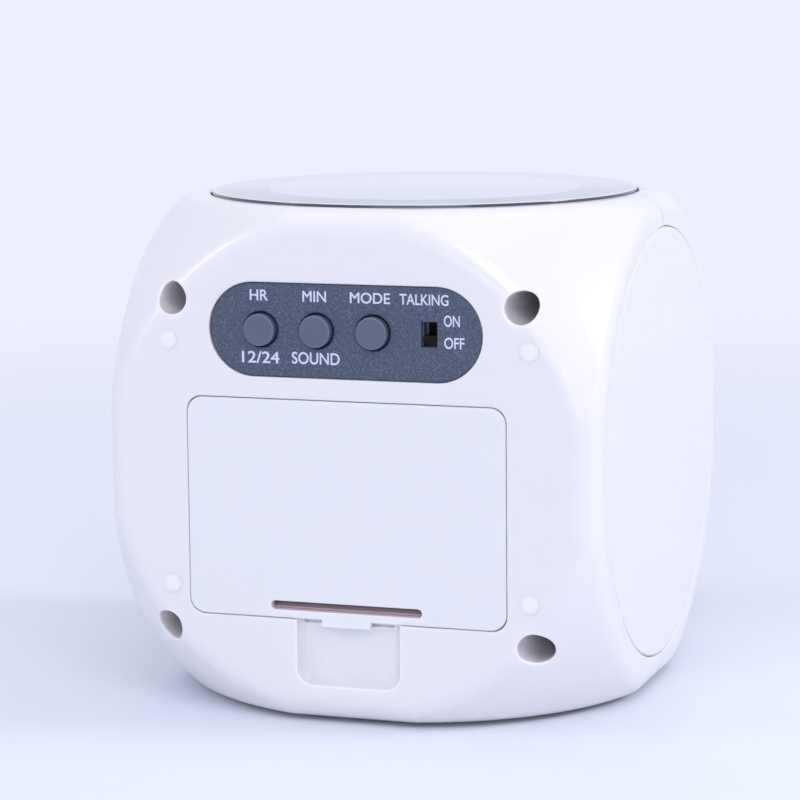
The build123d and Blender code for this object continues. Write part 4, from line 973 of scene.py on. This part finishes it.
can_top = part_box("capacitors")[1].y
can_cap = 0.12 * mm
stripe_start = 27.9 * mm
capacitor_finish = Finish("capacitor_sleeve", coat_weight=0.3, coat_roughness=0.1)
x, y, z = capacitor_finish.axes()
bare = y > can_top - can_cap
stripe = abs(x) > stripe_start
grain = capacitor_finish.noise(2000.0, 3.0)
sleeve = capacitor_finish.tint(grain, (0.018, 0.026, 0.10), (0.026, 0.036, 0.13))
printed = capacitor_finish.tint(stripe, sleeve, (0.42, 0.44, 0.50))
capacitor_finish.feed("Base Color", capacitor_finish.tint(bare, printed, (0.66, 0.66, 0.67)))
capacitor_finish.feed("Metallic", bare)
capacitor_finish.feed("Roughness", capacitor_finish.spread(grain, 0.29, 0.4))
dress(["capacitors"], capacitor_finish)

# ---------------------------------------------------------------- speaker
# A thin plated basket round a black film cone with pressed rings, and a ferrite ring magnet
# glued to its back.
basket_finish = Finish("basket_plate", metallic=1.0)
basket_finish.mottle(800.0, 5.0, [(0.48, 0.48, 0.49), (0.36, 0.36, 0.37)], (0.28, 0.45))
dress(["speaker_frame"], basket_finish)

cone_finish = Finish("cone_film", coat_weight=0.2)
x, y, z = cone_finish.axes()
ring_pitch = 1.6 * mm
rings = (x.reach(y) % ring_pitch) / ring_pitch
cone_finish.mottle(2500.0, 5.0, [(0.018, 0.018, 0.019), (0.045, 0.045, 0.046)], (0.4, 0.6))
cone_finish.relief(abs(rings - 0.5) * 2.0, 0.25 * mm)
dress(["speaker_cone"], cone_finish)

ferrite_finish = Finish("sintered_ferrite")
ferrite_tones = [(0.030, 0.030, 0.033), (0.075, 0.073, 0.075)]
ferrite_finish.mottle(3500.0, 6.0, ferrite_tones, (0.5, 0.75), 0.05 * mm)
dress(["speaker_magnet"], ferrite_finish)

# ---------------------------------------------------------------- projector
# A black barrel with a red lamp at its root, a small liquid crystal slide and a thick lens, that
# looks out through a tinted window in the side disc.
lens_finish = Finish("moulded_lens", roughness=0.03, transmission_weight=1.0, ior=1.53)
lens_finish.feed("Base Color", (0.95, 0.96, 0.96))
lens_finish.relief(lens_finish.noise(90.0, 1.0), 0.004 * mm)
dress(["projector_lens"], lens_finish)

tinted_finish = Finish("tinted_window", roughness=0.03, transmission_weight=1.0, ior=1.49)
tinted_finish.feed("Base Color", (0.60, 0.16, 0.15))
tinted_finish.relief(tinted_finish.noise(70.0, 1.0), 0.004 * mm)
dress(["projector_window"], tinted_finish)

slide_low, slide_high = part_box("projector_slide")
slide_middle = (slide_low.z + slide_high.z) / 2
slide_half_width = 3.6 * mm
slide_half_height = 2.0 * mm
slide_finish = Finish("slide_cell", coat_weight=0.6)
x, y, z = slide_finish.axes()
inner = (abs(y) < slide_half_width) * (abs(z - slide_middle) < slide_half_height)
haze = slide_finish.noise(900.0, 3.0)
dark_film = slide_finish.tint(haze, (0.020, 0.008, 0.010), (0.034, 0.012, 0.014))
slide_finish.feed("Base Color", slide_finish.tint(inner, dark_film, (0.20, 0.03, 0.03)))
slide_finish.feed("Roughness", slide_finish.spread(haze, 0.12, 0.25))
dress(["projector_slide"], slide_finish)

red_finish = Finish("red_lamp", transmission_weight=0.6, ior=1.5)
haze = red_finish.noise(1200.0, 2.0)
red_finish.feed("Base Color", red_finish.tint(haze, (0.62, 0.03, 0.02), (0.50, 0.02, 0.015)))
red_finish.feed("Roughness", red_finish.spread(haze, 0.08, 0.2))
dress(["projector_led"], red_finish)


# ---------------------------------------------------------------- leads
# Stranded wires in coloured sleeves from the battery, the speaker, the snooze board and the
# projector, and a flat grey ribbon from the key board, all soldered square to the main board.
def sleeve_finish(name, axis, border, colour_low, colour_high):
    """A sleeve with one colour below border on an axis and another above it."""
    finish = Finish(name, coat_weight=0.15)
    where = finish.axes()[axis]
    grain = finish.noise(1800.0, 3.0)
    colour = finish.tint(where > border, colour_low, colour_high)
    worn = finish.tint(grain * 0.3, colour, (0.30, 0.30, 0.30))
    finish.feed("Base Color", worn)
    finish.feed("Roughness", finish.spread(grain, 0.38, 0.55))
    finish.relief(grain, 0.02 * mm)
    return finish


red = (0.45, 0.016, 0.014)
black = (0.014, 0.014, 0.016)
white = (0.70, 0.70, 0.68)
blue = (0.02, 0.06, 0.30)
yellow = (0.42, 0.36, 0.02)
green = (0.02, 0.18, 0.05)
# Each pair of leads: the axis on which they lie apart, where one ends, and their two colours.
lead_pairs = {
    "battery": (0, 0.0, black, red),
    "speaker": (0, -16.2 * mm, white, blue),
    "snooze": (0, -8.2 * mm, yellow, green),
    "projector": (2, 45.8 * mm, white, red),
}
for pair, (axis, border, lower, upper) in lead_pairs.items():
    dress([f"{pair}_leads"], sleeve_finish(f"{pair}_sleeves", axis, border, lower, upper))

wire_pitch = 1.125 * mm
ribbon_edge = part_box("key_ribbon")[1].x
ribbon_finish = Finish("ribbon_cable")
aside = ribbon_finish.axes()[0]
across = (aside % wire_pitch) / wire_pitch
marked = aside > ribbon_edge - wire_pitch
grey = ribbon_finish.tint(ribbon_finish.noise(900.0, 3.0), (0.40, 0.40, 0.41), (0.33, 0.33, 0.34))
ribbon_finish.feed("Base Color", ribbon_finish.tint(marked, grey, red))
ribbon_finish.feed("Roughness", ribbon_finish.spread(ribbon_finish.noise(1500.0, 3.0), 0.4, 0.55))
ribbon_finish.relief(1.0 - abs(across - 0.5) * 2.0, 0.3 * mm)
dress(["key_ribbon"], ribbon_finish)
